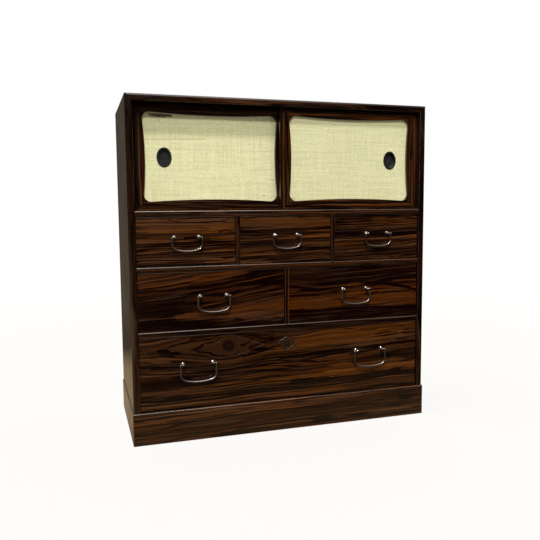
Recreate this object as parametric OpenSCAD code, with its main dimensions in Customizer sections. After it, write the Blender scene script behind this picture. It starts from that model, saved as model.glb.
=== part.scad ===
// Tea cabinet: a case on a plinth, with two sliding cloth-faced doors over six drawers.
// Millimetres. X runs along the front, +Y to the back, +Z up, and the front faces -Y.
// The origin is on the floor, in the middle of the overall width and depth.

/* [Case] */
// Width of the case over its two sides
case_w = 750; // [640:10:860]
// Depth of the case from its front edges to its back
case_d = 320; // [280:10:380]
// Thickness of the top board and the two sides
wall_t = 16; // [15:1:20]
// Radius on the outer front edges of the top and the sides
outer_round = 5; // [3:1:6]
// Radius on the inner front edges of the top and the sides
inner_round = 2; // [1:0.5:4]
// Depth of the housings in the sides that hold the boards
housing_d = 5; // [3:1:8]
// Thickness of the back panel
back_t = 6; // [4:1:8]
// Width of the rebate in the sides and the top that takes the back panel
back_lap = 7; // [4:1:9]

/* [Levels] */
// Height of the plinth
plinth_h = 76; // [50:2:100]
// Height of the bay of the large drawer, above the plinth
large_bay_h = 176; // [150:2:210]
// Height of the two bays of the middle drawers
middle_bay_h = 138; // [110:2:170]
// Height of the three bays of the small drawers
small_bay_h = 116; // [90:2:140]
// Height of the bay behind the sliding doors
door_bay_h = 244; // [200:2:300]
// Thickness of the grooved shelf under the doors
shelf_t = 12; // [10:1:16]
// Thickness of the two front rails between the drawers
rail_t = 12; // [10:1:16]
// Depth of the two front rails from front to back
rail_d = 30; // [26:2:50]
// Thickness of the boards that the drawers run on
run_board_t = 8; // [6:1:10]
// Thickness of the bottom board of the case
bottom_t = 14; // [10:1:18]
// Setback of the rails, the shelf and the dividers from the front edges
rail_recess = 2; // [1:0.5:4]
// Radius on the top front edge of the rails and the shelf
rail_round = 2.5; // [1:0.5:4]
// Radius on the bottom front edge of the rails and the shelf, and on the divider edges
small_round = 1; // [0.5:0.25:2]
// Setback of the hidden tongues of the boards behind their front edges
tongue_setback = 6; // [4:1:12]
// Thickness of the upright dividers between drawers
divider_t = 10; // [8:1:14]

/* [Plinth] */
// Thickness of the plinth boards
plinth_t = 18; // [16:1:24]
// How far the plinth stands proud of the case at the front and the sides
plinth_proud = 2; // [1:0.5:4]
// Radius on the top front edge of the plinth
plinth_round = 2; // [1:0.5:3]
// Radius on the two upright front edges of the plinth
plinth_corner_r = 3; // [1:0.5:5]
// Side of the square glue blocks in the plinth corners
block_w = 30; // [20:2:40]

/* [Sliding doors] */
// Thickness of the door frames
door_t = 16; // [14:1:18]
// Width of the upright frame pieces at the corners of the opening
stile_w = 21.5; // [18:0.5:32]
// Width of the level frame pieces at the corners of the opening
rail_w = 23; // [18:0.5:32]
// How far each edge of the opening swells inwards at its middle
swell = 6.5; // [3:0.5:9]
// Radius in the corners of the opening
corner_r = 17; // [8:1:24]
// How far the two closed doors overlap
door_overlap = 21; // [16:1:30]
// Setback of the front door from the front edges of the case
door_recess = 17; // [12:1:22]
// Gap between the front door and the rear door
door_pass = 2; // [1:0.5:4]
// Thickness of the tongues that run in the grooves
tongue_t = 8; // [6:0.5:9]
// Depth of the grooves in the shelf
floor_groove = 3.5; // [2:0.5:5]
// Depth of the grooves in the top board
head_groove = 10.5; // [8:0.5:12]
// Gap over the shoulder of a door, through which it lifts out
lift_gap = 6.5; // [5.5:0.5:9]
// Thickness of the board behind the cloth
panel_t = 4; // [3:0.5:5]
// Thickness of the cloth on the panel
cloth_t = 0.6; // [0.4:0.1:1]
// Depth of the panel behind the face of the frame
panel_recess = 6.5; // [4:0.5:7]
// How far the panel enters the frame at the corners of the opening
panel_entry = 8; // [5:1:12]

/* [Door pulls] */
// Width of an oval pull
pull_w = 35; // [24:1:44]
// Height of an oval pull
pull_h = 46; // [32:1:60]
// Width of the rim of a pull
pull_rim = 2.5; // [2:0.5:5]
// Depth of the cup of a pull behind the cloth
pull_depth = 8; // [7:0.5:9]
// Distance from the outer edge of a door to the middle of its pull
pull_inset = 73; // [60:1:100]

/* [Drawers] */
// Setback of the drawer fronts from the front edges of the case
drawer_recess = 6; // [4:0.5:9]
// Thickness of the drawer fronts
front_t = 16; // [15:1:20]
// Gap all round a drawer front
front_gap = 1.2; // [0.8:0.1:2]
// Gap under the large drawer front
foot_gap = 2.5; // [1:0.5:4]
// Width of the eased edges of the drawer fronts
front_ease = 1; // [0.5:0.25:2]
// Thickness of the drawer sides and backs
box_t = 9; // [7:1:11]
// Thickness of the drawer bottoms
box_bottom_t = 4; // [3:1:6]
// Gap between a drawer box and the walls of its bay
box_gap = 0.8; // [0.4:0.1:1.5]
// How much lower the drawer sides are than the front
box_drop = 14; // [8:1:24]
// Depth of the rebate in the front that takes a drawer side
side_lap = 8; // [6:1:10]
// Depth of the grooves that hold a drawer bottom
bottom_entry = 4; // [3:1:5]
// Length of the stop blocks behind the drawers
stop_l = 12; // [8:1:20]
// Depth of the housings in the drawer sides that take the drawer back
back_housing = 4; // [2:1:6]
// Distance of the drawer back from the ends of the drawer sides
back_inset = 6; // [2:1:12]
// How much lower the drawer back is than the drawer sides
back_drop = 4; // [2:1:12]

/* [Handles] */
// Spacing of the posts on a small drawer
small_post_gap = 57.5; // [48:0.5:70]
// Spacing of the posts on a middle drawer
middle_post_gap = 63.5; // [52:0.5:80]
// Spacing of the posts on the large drawer
large_post_gap = 71.5; // [60:0.5:90]
// Drop of a small bail from its pins to its underside
small_drop = 34.5; // [32:0.5:40]
// Drop of a middle bail
middle_drop = 40; // [36:0.5:46]
// Drop of a large bail
large_drop = 45; // [38:0.5:52]
// Thickness of a small bail at its middle
small_bail_d = 4.8; // [4:0.1:6]
// Thickness of a middle bail at its middle
middle_bail_d = 5.2; // [4:0.1:6]
// Thickness of a large bail at its middle
large_bail_d = 5.8; // [5:0.1:7]
// Radius of the elbows of a bail, along its middle
elbow_r = 15; // [12:1:18]
// Distance of the middle of the bail pins from the drawer face
stand_off = 9; // [8:0.5:12]
// Diameter of the ball on a post
ball_d = 7.4; // [6.6:0.2:9]
// Diameter of the neck behind the ball
neck_d = 5; // [4:0.5:6]
// Diameter of the domed boss at the foot of a post
boss_d = 13; // [10:0.5:18]
// Height of the domed boss
boss_h = 3; // [2:0.5:4]
// Diameter of the bail pins
bail_pin_d = 2.6; // [2:0.1:3]
// Diameter of the shank that goes through the drawer front
shank_d = 4; // [3:0.5:5]
// Distance of the large drawer's handles from its middle
large_handle_x = 222; // [120:2:240]
// Height of the small bail pins over the middle of the drawer front
small_handle_rise = 9; // [0:1:20]
// Height of the middle bail pins over the middle of the drawer front
middle_handle_rise = 9; // [0:1:30]
// Height of the large bail pins over the middle of the drawer front
large_handle_rise = 18; // [0:1:40]

/* [Lock] */
// Width of the key plate from tip to tip
key_plate_w = 46; // [36:1:60]
// Height of the key plate
key_plate_h = 33; // [26:1:44]
// Thickness of the key plate at its edge
key_plate_t = 1; // [0.75:0.25:2]
// Width of the step round the face of the key plate
key_plate_step = 1.5; // [1:0.25:3]
// Height of the face of the key plate over its edge
key_plate_rise = 0.6; // [0.25:0.05:1]
// Depth of the scallops round the edge of the key plate
key_plate_scallop = 0.9; // [0.5:0.1:1.4]
// Radius of the round head of the keyhole
keyhole_r = 3.2; // [2.4:0.1:3.6]
// Width of the slot of the keyhole
keyhole_slot_w = 3.4; // [2:0.2:4]
// Depth of the slot below the middle of the keyhole's head
keyhole_slot_h = 7.5; // [6:0.5:9]
// Width of the raised rim round the keyhole
key_rim = 2; // [1.5:0.25:2.5]
// Distance of the keyhole below the top edge of the drawer front
keyhole_drop = 35; // [30:1:50]
// Width of the lock case
lock_w = 56; // [44:2:70]
// Height of the lock case
lock_h = 52; // [50:1:64]
// Thickness of the lock case
lock_t = 9; // [8:0.5:10]
// Width of the lock bolt
bolt_w = 22; // [14:1:30]
// Height of the lock bolt
bolt_h = 16; // [12:1:20]
// Thickness of the lock bolt
bolt_t = 4; // [3:0.5:5]
// How far the bolt is thrown
bolt_throw = 6; // [4:0.5:8]

/* [Fits] */
// Gap of a door or a drawer over the surface that it slides on
slide_gap = 0.3; // [0.2:0.1:0.5]
// Gap on each side of a door tongue in its groove
groove_gap = 0.4; // [0.3:0.1:0.8]
// Gap between a closed door and the case side
door_gap = 0.5; // [0.3:0.1:1]
// Gap all round the panel in its grooves
panel_gap = 0.2; // [0.1:0.1:0.4]
// Radial gap of a bail pin in its post
pin_gap = 0.05; // [0.02:0.01:0.1]
// Gap between a bail and the ball of its post
ball_gap = 0.4; // [0.3:0.1:0.8]
// Gap between a closed drawer and its stops
stop_gap = 0.3; // [0.2:0.1:0.6]
// Gap round the lock bolt in its case and in the rail
bolt_gap = 0.3; // [0.2:0.1:0.5]

/* [Hidden] */
$fn = 64;
dark = "#3b2417";
stripe = "#5a3219";
pale_wood = "#c9ab7c";
cloth_tint = "#d9d3a4";
bronze = "#3c332e";
black_cup = "#201d1c";
cut = 1;

handle_proj = stand_off + ball_d / 2 - drawer_recess;
front_y = handle_proj / 2 - case_d / 2;
back_y = front_y + case_d;
inner_w = case_w - 2 * wall_t;

lower_rail_z = plinth_h + large_bay_h;
middle_floor_z = lower_rail_z + rail_t;
upper_rail_z = middle_floor_z + middle_bay_h;
small_floor_z = upper_rail_z + rail_t;
shelf_z = small_floor_z + small_bay_h;
door_floor_z = shelf_z + shelf_t;
ceiling_z = door_floor_z + door_bay_h;
top_z = ceiling_z + wall_t;

rail_y = front_y + rail_recess;
panel_back_y = back_y - back_t;

small_bay_w = (inner_w - 2 * divider_t) / 3;
middle_bay_w = (inner_w - divider_t) / 2;
small_pitch = small_bay_w + divider_t;
middle_pitch = middle_bay_w + divider_t;

drawer_y = front_y + drawer_recess;
box_y = drawer_y + front_t;
box_end_y = panel_back_y - stop_l;
bail_y = drawer_y - stand_off;

door_w = (inner_w + door_overlap) / 2 - door_gap;
door_base_z = door_floor_z - floor_groove + slide_gap;
door_top_z = ceiling_z + head_groove - floor_groove - 3 * slide_gap;
door_h = door_top_z - door_base_z;
front_door_y = front_y + door_recess;
rear_door_y = front_door_y + door_t + door_pass;
panel_w = door_w - 2 * (stile_w - panel_entry) - 2 * panel_gap;
panel_h = door_h - 2 * (rail_w - panel_entry) - 2 * panel_gap;
panel_slot_t = panel_t + cloth_t + 2 * panel_gap;

keyhole_z = lower_rail_z - front_gap - keyhole_drop;
lock_skin = 1.6;
nut_d = 8;
nut_t = 2.6;
pin_nib = 0.8;

// Shared shapes

// A box from its low corner and its size
module slab(low, size) {
    translate(low) cube(size);
}

// A profile drawn in XZ, extruded along Y from y0
module along_y(y0, length) {
    translate([0, y0 + length, 0]) rotate([90, 0, 0]) linear_extrude(length) children();
}

// A profile drawn in YZ, extruded along X from x0
module along_x(x0, length) {
    translate([x0, 0, 0]) rotate([90, 0, 90]) linear_extrude(length) children();
}

// A rectangle whose two front corners, at low Y, have their own radii
module edge_profile(thick, depth, r_low, r_high) {
    union() {
        translate([0, max(r_low, r_high)]) square([thick, depth - max(r_low, r_high)]);
        translate([r_low, 0]) square([thick - r_low - r_high, depth]);
        translate([r_low, r_low]) circle(r = r_low);
        translate([thick - r_high, r_high]) circle(r = r_high);
        translate([0, r_low]) square([r_low, depth - r_low]);
        translate([thick - r_high, r_high]) square([r_high, depth - r_high]);
    }
}

// A front panel with eased edges round its face
module eased_front(low, size, ease) {
    depth = size[1];
    intersection() {
        translate([low[0], low[1], low[2]])
            linear_extrude(size[2])
                polygon([
                    [ease, 0], [size[0] - ease, 0], [size[0], ease],
                    [size[0], depth], [0, depth], [0, ease]
                ]);
        translate([0, low[1], low[2]])
            along_x(low[0], size[0])
                polygon([
                    [0, ease], [ease, 0], [depth, 0],
                    [depth, size[2]], [ease, size[2]], [0, size[2] - ease]
                ]);
    }
}

function arc(centre, radius, from, to, steps) =
    [for (i = [0 : steps])
        let (a = from + (to - from) * i / steps)
        centre + radius * [cos(a), sin(a)]];

// First quarter of an opening whose edges swell inwards and whose corners are round
function pincushion_quarter(w, h, s, r) =
    let (
        side_r = (h * h / 4 + s * s) / (2 * s),
        head_r = (w * w / 4 + s * s) / (2 * s),
        side_c = [w / 2 - s + side_r, 0],
        head_c = [0, h / 2 - s + head_r],
        reach = norm(head_c - side_c),
        along = (head_c - side_c) / reach,
        t = ((side_r + r) * (side_r + r) - (head_r + r) * (head_r + r) + reach * reach)
            / (2 * reach),
        k = sqrt((side_r + r) * (side_r + r) - t * t),
        c = side_c + t * along + k * [-along[1], along[0]],
        side_a = atan2(c[1], c[0] - side_c[0]),
        head_a = atan2(c[1] - head_c[1], c[0])
    )
    concat(
        arc(side_c, side_r, 180, side_a, 6),
        arc(c, r, side_a - 180, head_a + 180, 8),
        arc(head_c, head_r, head_a, -90, 8)
    );

function mirrored(points, sx, sy) = [for (p = points) [p[0] * sx, p[1] * sy]];
function reversed(points, skip) = [for (i = [len(points) - 1 - skip : -1 : skip]) points[i]];
function without_repeats(points) =
    [for (i = [0 : len(points) - 1])
        if (norm(points[i] - points[(i + 1) % len(points)]) > 0.001) points[i]];

function pincushion(w, h, s, r) =
    let (q = pincushion_quarter(w, h, s, r))
    without_repeats(concat(
        q,
        reversed(mirrored(q, -1, 1), 0),
        mirrored(q, -1, -1),
        reversed(mirrored(q, 1, -1), 0)
    ));

function oval(w, h) = [for (a = [0 : 7.5 : 352.5]) [w / 2 * cos(a), h / 2 * sin(a)]];

// Outline between a diamond and an oval, with twelve shallow lobes round it
function lozenge(w, h, power, scallop) =
    [for (a = [0 : 3.75 : 356.25])
        let (
            p = [w / 2 * sign(cos(a)) * pow(abs(cos(a)), 2 / power),
                 h / 2 * sign(sin(a)) * pow(abs(sin(a)), 2 / power)]
        )
        p * (1 - scallop * (1 - abs(cos(6 * a))) / norm(p))];

// Case

// The round outer shape that the mitred top and sides share, seen from the front
module case_envelope() {
    corner = inner_round;
    along_y(front_y - cut, case_d + 2 * cut)
        union() {
            translate([-case_w / 2, plinth_h]) square([case_w, top_z - plinth_h - corner]);
            translate([-case_w / 2 + corner, plinth_h])
                square([case_w - 2 * corner, top_z - plinth_h]);
            for (side = [-1, 1])
                translate([side * (case_w / 2 - corner), top_z - corner])
                    circle(r = corner);
        }
}

// The half-square in front view that a mitred side keeps, left of the mitre line
module side_mitre() {
    along_y(front_y - cut, case_d + 2 * cut)
        polygon([
            [-case_w / 2 - cut, plinth_h], [-inner_w / 2, plinth_h],
            [-inner_w / 2, ceiling_z], [-case_w / 2, top_z],
            [-case_w / 2 - cut, top_z]
        ]);
}

// Housing in the left side for a board of this height, thickness and depth
module housing(z, thick, y0, y1) {
    slab([-inner_w / 2 - housing_d, y0, z], [housing_d + cut, y1 - y0, thick]);
}

module side_board() {
    difference() {
        intersection() {
            translate([-case_w / 2, front_y, plinth_h])
                linear_extrude(top_z - plinth_h)
                    edge_profile(wall_t, case_d, outer_round, inner_round);
            side_mitre();
            case_envelope();
        }
        housing(plinth_h, bottom_t, box_y, panel_back_y);
        housing(lower_rail_z, rail_t, rail_y + tongue_setback, rail_y + rail_d);
        housing(middle_floor_z - run_board_t, run_board_t, rail_y + rail_d, panel_back_y);
        housing(upper_rail_z, rail_t, rail_y + tongue_setback, rail_y + rail_d);
        housing(small_floor_z - run_board_t, run_board_t, rail_y + rail_d, panel_back_y);
        housing(shelf_z, shelf_t, rail_y + tongue_setback, panel_back_y);
        slab([-inner_w / 2 - back_lap, panel_back_y, plinth_h - cut],
            [back_lap + cut, back_t + cut, ceiling_z + back_lap - plinth_h + cut]);
    }
}

module left_side() {
    color(dark) side_board();
}

module right_side() {
    color(dark) mirror([1, 0, 0]) side_board();
}

// A groove for a door tongue, across the whole inner width
module door_groove(door_y, z, deep) {
    slab([-inner_w / 2, door_y + door_t - tongue_t - groove_gap, z],
        [inner_w, tongue_t + 2 * groove_gap, deep]);
}

module top_board() {
    color(dark)
        difference() {
            intersection() {
                translate([0, front_y, 0])
                    along_x(-case_w / 2, case_w)
                        translate([0, top_z]) rotate(-90)
                            edge_profile_top();
                along_y(front_y - cut, case_d + 2 * cut)
                    polygon([
                        [-case_w / 2, top_z], [-inner_w / 2, ceiling_z],
                        [inner_w / 2, ceiling_z], [case_w / 2, top_z]
                    ]);
                case_envelope();
            }
            for (door_y = [front_door_y, rear_door_y])
                door_groove(door_y, ceiling_z - cut, head_groove + cut);
            slab([-inner_w / 2 - back_lap, panel_back_y, ceiling_z - cut],
                [inner_w + 2 * back_lap, back_t + cut, back_lap + cut]);
        }
}

// The front edge of the top board in section: outer edge up, inner edge down
module edge_profile_top() {
    edge_profile(wall_t, case_d, outer_round, inner_round);
}

// A board across the case with its ends in the housings
module cross_board(z, thick, y0, y1) {
    slab([-inner_w / 2 - housing_d, y0, z], [inner_w + 2 * housing_d, y1 - y0, thick]);
}

// A cross board whose front edge shows: rounded, with the tongues at its ends set back
module front_board(z, thick, y1) {
    translate([0, rail_y, 0])
        along_x(-inner_w / 2, inner_w)
            translate([0, z + thick]) rotate(-90)
                edge_profile(thick, y1 - rail_y, rail_round, small_round);
    cross_board(z, thick, rail_y + tongue_setback, y1);
}

module shelf_board() {
    color(dark)
        difference() {
            front_board(shelf_z, shelf_t, panel_back_y);
            for (door_y = [front_door_y, rear_door_y])
                door_groove(door_y, door_floor_z - floor_groove, floor_groove + cut);
        }
}

module upper_rail() {
    color(stripe) front_board(upper_rail_z, rail_t, rail_y + rail_d);
}

// The lower rail has the mortise that the lock bolt enters
module lower_rail() {
    color(stripe)
        difference() {
            front_board(lower_rail_z, rail_t, rail_y + rail_d);
            slab([-bolt_w / 2 - bolt_gap, bolt_y() - bolt_gap, lower_rail_z - cut],
                [bolt_w + 2 * bolt_gap, bolt_t + 2 * bolt_gap,
                 bolt_throw - front_gap + bolt_gap + 2 * cut]);
        }
}

module upper_run_board() {
    color(pale_wood)
        cross_board(small_floor_z - run_board_t, run_board_t, rail_y + rail_d, panel_back_y);
}

module lower_run_board() {
    color(pale_wood)
        cross_board(middle_floor_z - run_board_t, run_board_t, rail_y + rail_d, panel_back_y);
}

module bottom_board() {
    color(pale_wood) cross_board(plinth_h, bottom_t, box_y, panel_back_y);
}

module divider(x, z0, height) {
    translate([x - divider_t / 2, rail_y, z0])
        linear_extrude(height)
            edge_profile(divider_t, panel_back_y - rail_y, small_round, small_round);
}

module small_dividers() {
    color(dark)
        for (side = [-1, 1])
            divider(side * small_pitch / 2, small_floor_z, small_bay_h);
}

module middle_divider() {
    color(dark) divider(0, middle_floor_z, middle_bay_h);
}

module back_panel() {
    color(pale_wood)
        slab([-inner_w / 2 - back_lap, panel_back_y, plinth_h],
            [inner_w + 2 * back_lap, back_t, ceiling_z + back_lap - plinth_h]);
}

// Two stop blocks behind each drawer, against the back panel
module drawer_stops() {
    color(pale_wood) {
        for (i = [-1 : 1])
            stop_pair(i * small_pitch, small_floor_z, small_bay_w);
        for (i = [-1, 1])
            stop_pair(i * middle_pitch / 2, middle_floor_z, middle_bay_w);
        stop_pair(0, plinth_h + bottom_t, inner_w);
    }
}

module stop_pair(x, z, bay_w) {
    stop_h = 14;
    for (side = [-1, 1])
        slab([x + side * (bay_w / 2 - 2 * stop_h) - stop_h / 2, box_end_y + stop_gap, z],
            [stop_h, stop_l - stop_gap, stop_h]);
}

// Plinth

plinth_w = case_w + 2 * plinth_proud;
plinth_y = front_y - plinth_proud;

// Outline of the plinth from above, with its two rounded front corners
module plinth_outline() {
    translate([-plinth_w / 2, plinth_y])
        edge_profile(plinth_w, back_y - plinth_y, plinth_corner_r, plinth_corner_r);
}

module plinth_front() {
    color(stripe)
        intersection() {
            linear_extrude(plinth_h) plinth_outline();
            translate([0, plinth_y, 0])
                along_x(-plinth_w / 2, plinth_w)
                    translate([0, plinth_h]) rotate(-90)
                        edge_profile(plinth_h, plinth_t, plinth_round, 0.01);
            linear_extrude(plinth_h)
                polygon([
                    [-plinth_w / 2, plinth_y], [plinth_w / 2, plinth_y],
                    [plinth_w / 2 - plinth_t, plinth_y + plinth_t],
                    [-plinth_w / 2 + plinth_t, plinth_y + plinth_t]
                ]);
        }
}

module plinth_side() {
    intersection() {
        linear_extrude(plinth_h) plinth_outline();
        along_y(plinth_y, back_y - plinth_y)
            translate([-plinth_w / 2, plinth_h]) rotate(-90)
                edge_profile(plinth_h, plinth_t, plinth_round, 0.01);
        linear_extrude(plinth_h)
            polygon([
                [-plinth_w / 2, plinth_y],
                [-plinth_w / 2 + plinth_t, plinth_y + plinth_t],
                [-plinth_w / 2 + plinth_t, back_y], [-plinth_w / 2, back_y]
            ]);
    }
}

module plinth_sides() {
    color(stripe) {
        plinth_side();
        mirror([1, 0, 0]) plinth_side();
    }
}

module plinth_back() {
    color(pale_wood)
        slab([-plinth_w / 2 + plinth_t, back_y - plinth_t, 0],
            [plinth_w - 2 * plinth_t, plinth_t, plinth_h]);
}

module plinth_blocks() {
    color(pale_wood)
        for (side = [-1, 1], y = [plinth_y + plinth_t, back_y - plinth_t - block_w])
            slab([side * (plinth_w / 2 - plinth_t - block_w / 2) - block_w / 2, y, block_w / 3],
                [block_w, block_w, plinth_h - block_w / 3]);
}

// Sliding doors, drawn with the low corner of the frame at the origin

// Outline of the pair of frame pieces that the mitres keep
module stile_halves() {
    half = door_h / 2;
    for (side = [0, 1])
        translate([side * door_w, 0]) mirror([side, 0])
            polygon([[0, 0], [half, half], [0, door_h]]);
}

module rail_halves() {
    half = door_h / 2;
    for (side = [0, 1])
        translate([0, side * door_h]) mirror([0, side])
            polygon([[0, 0], [door_w, 0], [door_w - half, half], [half, half]]);
}

module frame_section() {
    shoulder_low = door_floor_z + slide_gap - door_base_z;
    shoulder_high = ceiling_z - lift_gap - door_base_z;
    difference() {
        intersection() {
            along_y(0, door_t)
                difference() {
                    children();
                    translate([door_w / 2, door_h / 2])
                        polygon(pincushion(door_w - 2 * stile_w, door_h - 2 * rail_w,
                            swell, corner_r));
                }
            along_x(0, door_w)
                polygon([
                    [door_t - tongue_t, 0], [door_t, 0], [door_t, door_h],
                    [door_t - tongue_t, door_h], [door_t - tongue_t, shoulder_high],
                    [0, shoulder_high], [0, shoulder_low],
                    [door_t - tongue_t, shoulder_low]
                ]);
        }
        slab([stile_w - panel_entry, panel_recess - panel_gap, rail_w - panel_entry],
            [door_w - 2 * (stile_w - panel_entry), panel_slot_t,
             door_h - 2 * (rail_w - panel_entry)]);
    }
}

module door_stiles() {
    color(dark) frame_section() stile_halves();
}

module door_rails() {
    color(stripe) frame_section() rail_halves();
}

// Panel or cloth: a sheet with an oval hole for the pull
module door_sheet(y, thick, pull_x) {
    difference() {
        slab([stile_w - panel_entry + panel_gap, y, rail_w - panel_entry + panel_gap],
            [panel_w, thick, panel_h]);
        translate([pull_x, 0, door_h / 2])
            along_y(y - cut, thick + 2 * cut)
                polygon(oval(pull_w - 2 * pull_rim, pull_h - 2 * pull_rim));
    }
}

module door_panel(pull_x) {
    color(pale_wood) door_sheet(panel_recess + cloth_t, panel_t, pull_x);
}

module door_cloth(pull_x) {
    color(cloth_tint) door_sheet(panel_recess, cloth_t, pull_x);
}

// Oval cup with a rim that lies on the cloth
module door_pull(pull_x) {
    cup_w = pull_w - 2 * pull_rim;
    cup_h = pull_h - 2 * pull_rim;
    cup_wall = 1;
    rim_t = 1;
    color(black_cup)
        translate([pull_x, 0, door_h / 2])
            difference() {
                union() {
                    along_y(panel_recess - rim_t, rim_t) polygon(oval(pull_w, pull_h));
                    along_y(panel_recess, pull_depth) polygon(oval(cup_w, cup_h));
                }
                along_y(panel_recess - rim_t - cut, rim_t + cut + pull_depth - cup_wall)
                    polygon(oval(cup_w - 2 * cup_wall, cup_h - 2 * cup_wall));
            }
}

module at_left_door() {
    translate([-inner_w / 2 + door_gap, rear_door_y, door_base_z]) children();
}

module at_right_door() {
    translate([inner_w / 2 - door_gap - door_w, front_door_y, door_base_z]) children();
}

module left_door_stiles() { at_left_door() door_stiles(); }
module left_door_rails() { at_left_door() door_rails(); }
module left_door_panel() { at_left_door() door_panel(pull_inset); }
module left_door_cloth() { at_left_door() door_cloth(pull_inset); }
module left_door_pull() { at_left_door() door_pull(pull_inset); }
module right_door_stiles() { at_right_door() door_stiles(); }
module right_door_rails() { at_right_door() door_rails(); }
module right_door_panel() { at_right_door() door_panel(door_w - pull_inset); }
module right_door_cloth() { at_right_door() door_cloth(door_w - pull_inset); }
module right_door_pull() { at_right_door() door_pull(door_w - pull_inset); }

// Drawers. A bay is [middle x, floor z, width, height] of the space a drawer slides in,
// and a face is [low z, height] of the drawer front.

small_bays = [for (i = [-1 : 1]) [i * small_pitch, small_floor_z, small_bay_w, small_bay_h]];
middle_bays = [for (i = [-1, 1])
    [i * middle_pitch / 2, middle_floor_z, middle_bay_w, middle_bay_h]];
large_bay = [0, plinth_h + bottom_t, inner_w, large_bay_h - bottom_t];

function bay_face(bay) = [bay[1] + front_gap, bay[3] - 2 * front_gap];
large_face = [plinth_h + foot_gap, large_bay_h - foot_gap - front_gap];
function box_floor(bay) = bay[1] + slide_gap;
function box_height(bay) = bay[3] - front_gap - box_drop;
function box_width(bay) = bay[2] - 2 * box_gap;
box_l = box_end_y - box_y;

module drawer_front(bay, face, post_xs, rise) {
    w = bay[2] - 2 * front_gap;
    low_x = bay[0] - w / 2;
    side_in = box_t + box_gap - front_gap;
    pin_z = face[0] + face[1] / 2 + rise;
    difference() {
        eased_front([low_x, drawer_y, face[0]], [w, front_t, face[1]], front_ease);
        for (x = [low_x - cut, low_x + w - side_in])
            slab([x, box_y - side_lap, face[0] - cut],
                [side_in + cut, side_lap + cut, box_floor(bay) + box_height(bay) - face[0] + cut]);
        slab([bay[0] - box_width(bay) / 2 + box_t - bottom_entry, box_y - bottom_entry,
              box_floor(bay) + box_bottom_t],
            [box_width(bay) - 2 * box_t + 2 * bottom_entry, bottom_entry + cut, box_bottom_t]);
        for (x = post_xs)
            translate([x, drawer_y - cut, pin_z]) rotate([-90, 0, 0])
                cylinder(d = shank_d, h = front_t + 2 * cut);
    }
}

module drawer_side(bay) {
    x = bay[0] - box_width(bay) / 2;
    difference() {
        slab([x, box_y - side_lap, box_floor(bay)],
            [box_t, box_l + side_lap, box_height(bay)]);
        slab([x + box_t - bottom_entry, box_y - side_lap - cut, box_floor(bay) + box_bottom_t],
            [bottom_entry + cut, box_l + side_lap + 2 * cut, box_bottom_t]);
    }
}

// The back stands on the drawer bottom, with its ends housed in the sides
module drawer_back(bay) {
    w = box_width(bay) - 2 * (box_t - back_housing);
    slab([bay[0] - w / 2, box_end_y - box_t - back_inset, box_floor(bay) + 2 * box_bottom_t],
        [w, box_t, box_height(bay) - 2 * box_bottom_t - back_drop]);
}

module drawer_box(bay) {
    color(pale_wood) {
        drawer_side(bay);
        translate([bay[0], 0, 0]) mirror([1, 0, 0]) translate([-bay[0], 0, 0])
            drawer_side(bay);
        drawer_back(bay);
    }
}

module drawer_bottom(bay) {
    w = box_width(bay) - 2 * box_t + 2 * bottom_entry;
    color(pale_wood)
        slab([bay[0] - w / 2, box_y - bottom_entry, box_floor(bay) + box_bottom_t],
            [w, box_end_y - box_y + bottom_entry, box_bottom_t]);
}

// Handles

// Half section of a post along its axis, with the drawer face at zero
module post_section() {
    rim_t = 0.8;
    dome_base_r = boss_d / 2 - rim_t;
    dome_r = (dome_base_r * dome_base_r + boss_h * boss_h) / (2 * boss_h);
    shank_l = front_t + nut_t + 1;
    intersection() {
        union() {
            square([boss_d / 2, rim_t]);
            intersection() {
                translate([0, boss_h - dome_r]) circle(r = dome_r);
                square([boss_d, boss_d]);
            }
            square([neck_d / 2, stand_off - ball_d / 4]);
            translate([0, stand_off]) circle(d = ball_d);
            translate([0, -shank_l]) square([shank_d / 2, shank_l + cut]);
        }
        translate([0, -2 * front_t]) square([boss_d, 4 * front_t]);
    }
}

// Post with its domed boss on the drawer face, its ball, its shank and its nut
module post(x, z) {
    translate([x, drawer_y, z]) rotate([90, 0, 0]) {
        difference() {
            rotate_extrude() post_section();
            translate([-ball_d, 0, stand_off]) rotate([0, 90, 0])
                cylinder(d = bail_pin_d + 2 * pin_gap, h = 2 * ball_d);
        }
        translate([0, 0, -front_t - nut_t])
            difference() {
                cylinder(d = nut_d, h = nut_t, $fn = 6);
                translate([0, 0, -cut]) cylinder(d = shank_d, h = nut_t + 2 * cut);
            }
    }
}

// Round top end of a bail leg
module leg_end(d) {
    intersection() {
        sphere(d = d);
        cylinder(d = 2 * d, h = d);
    }
}

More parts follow.
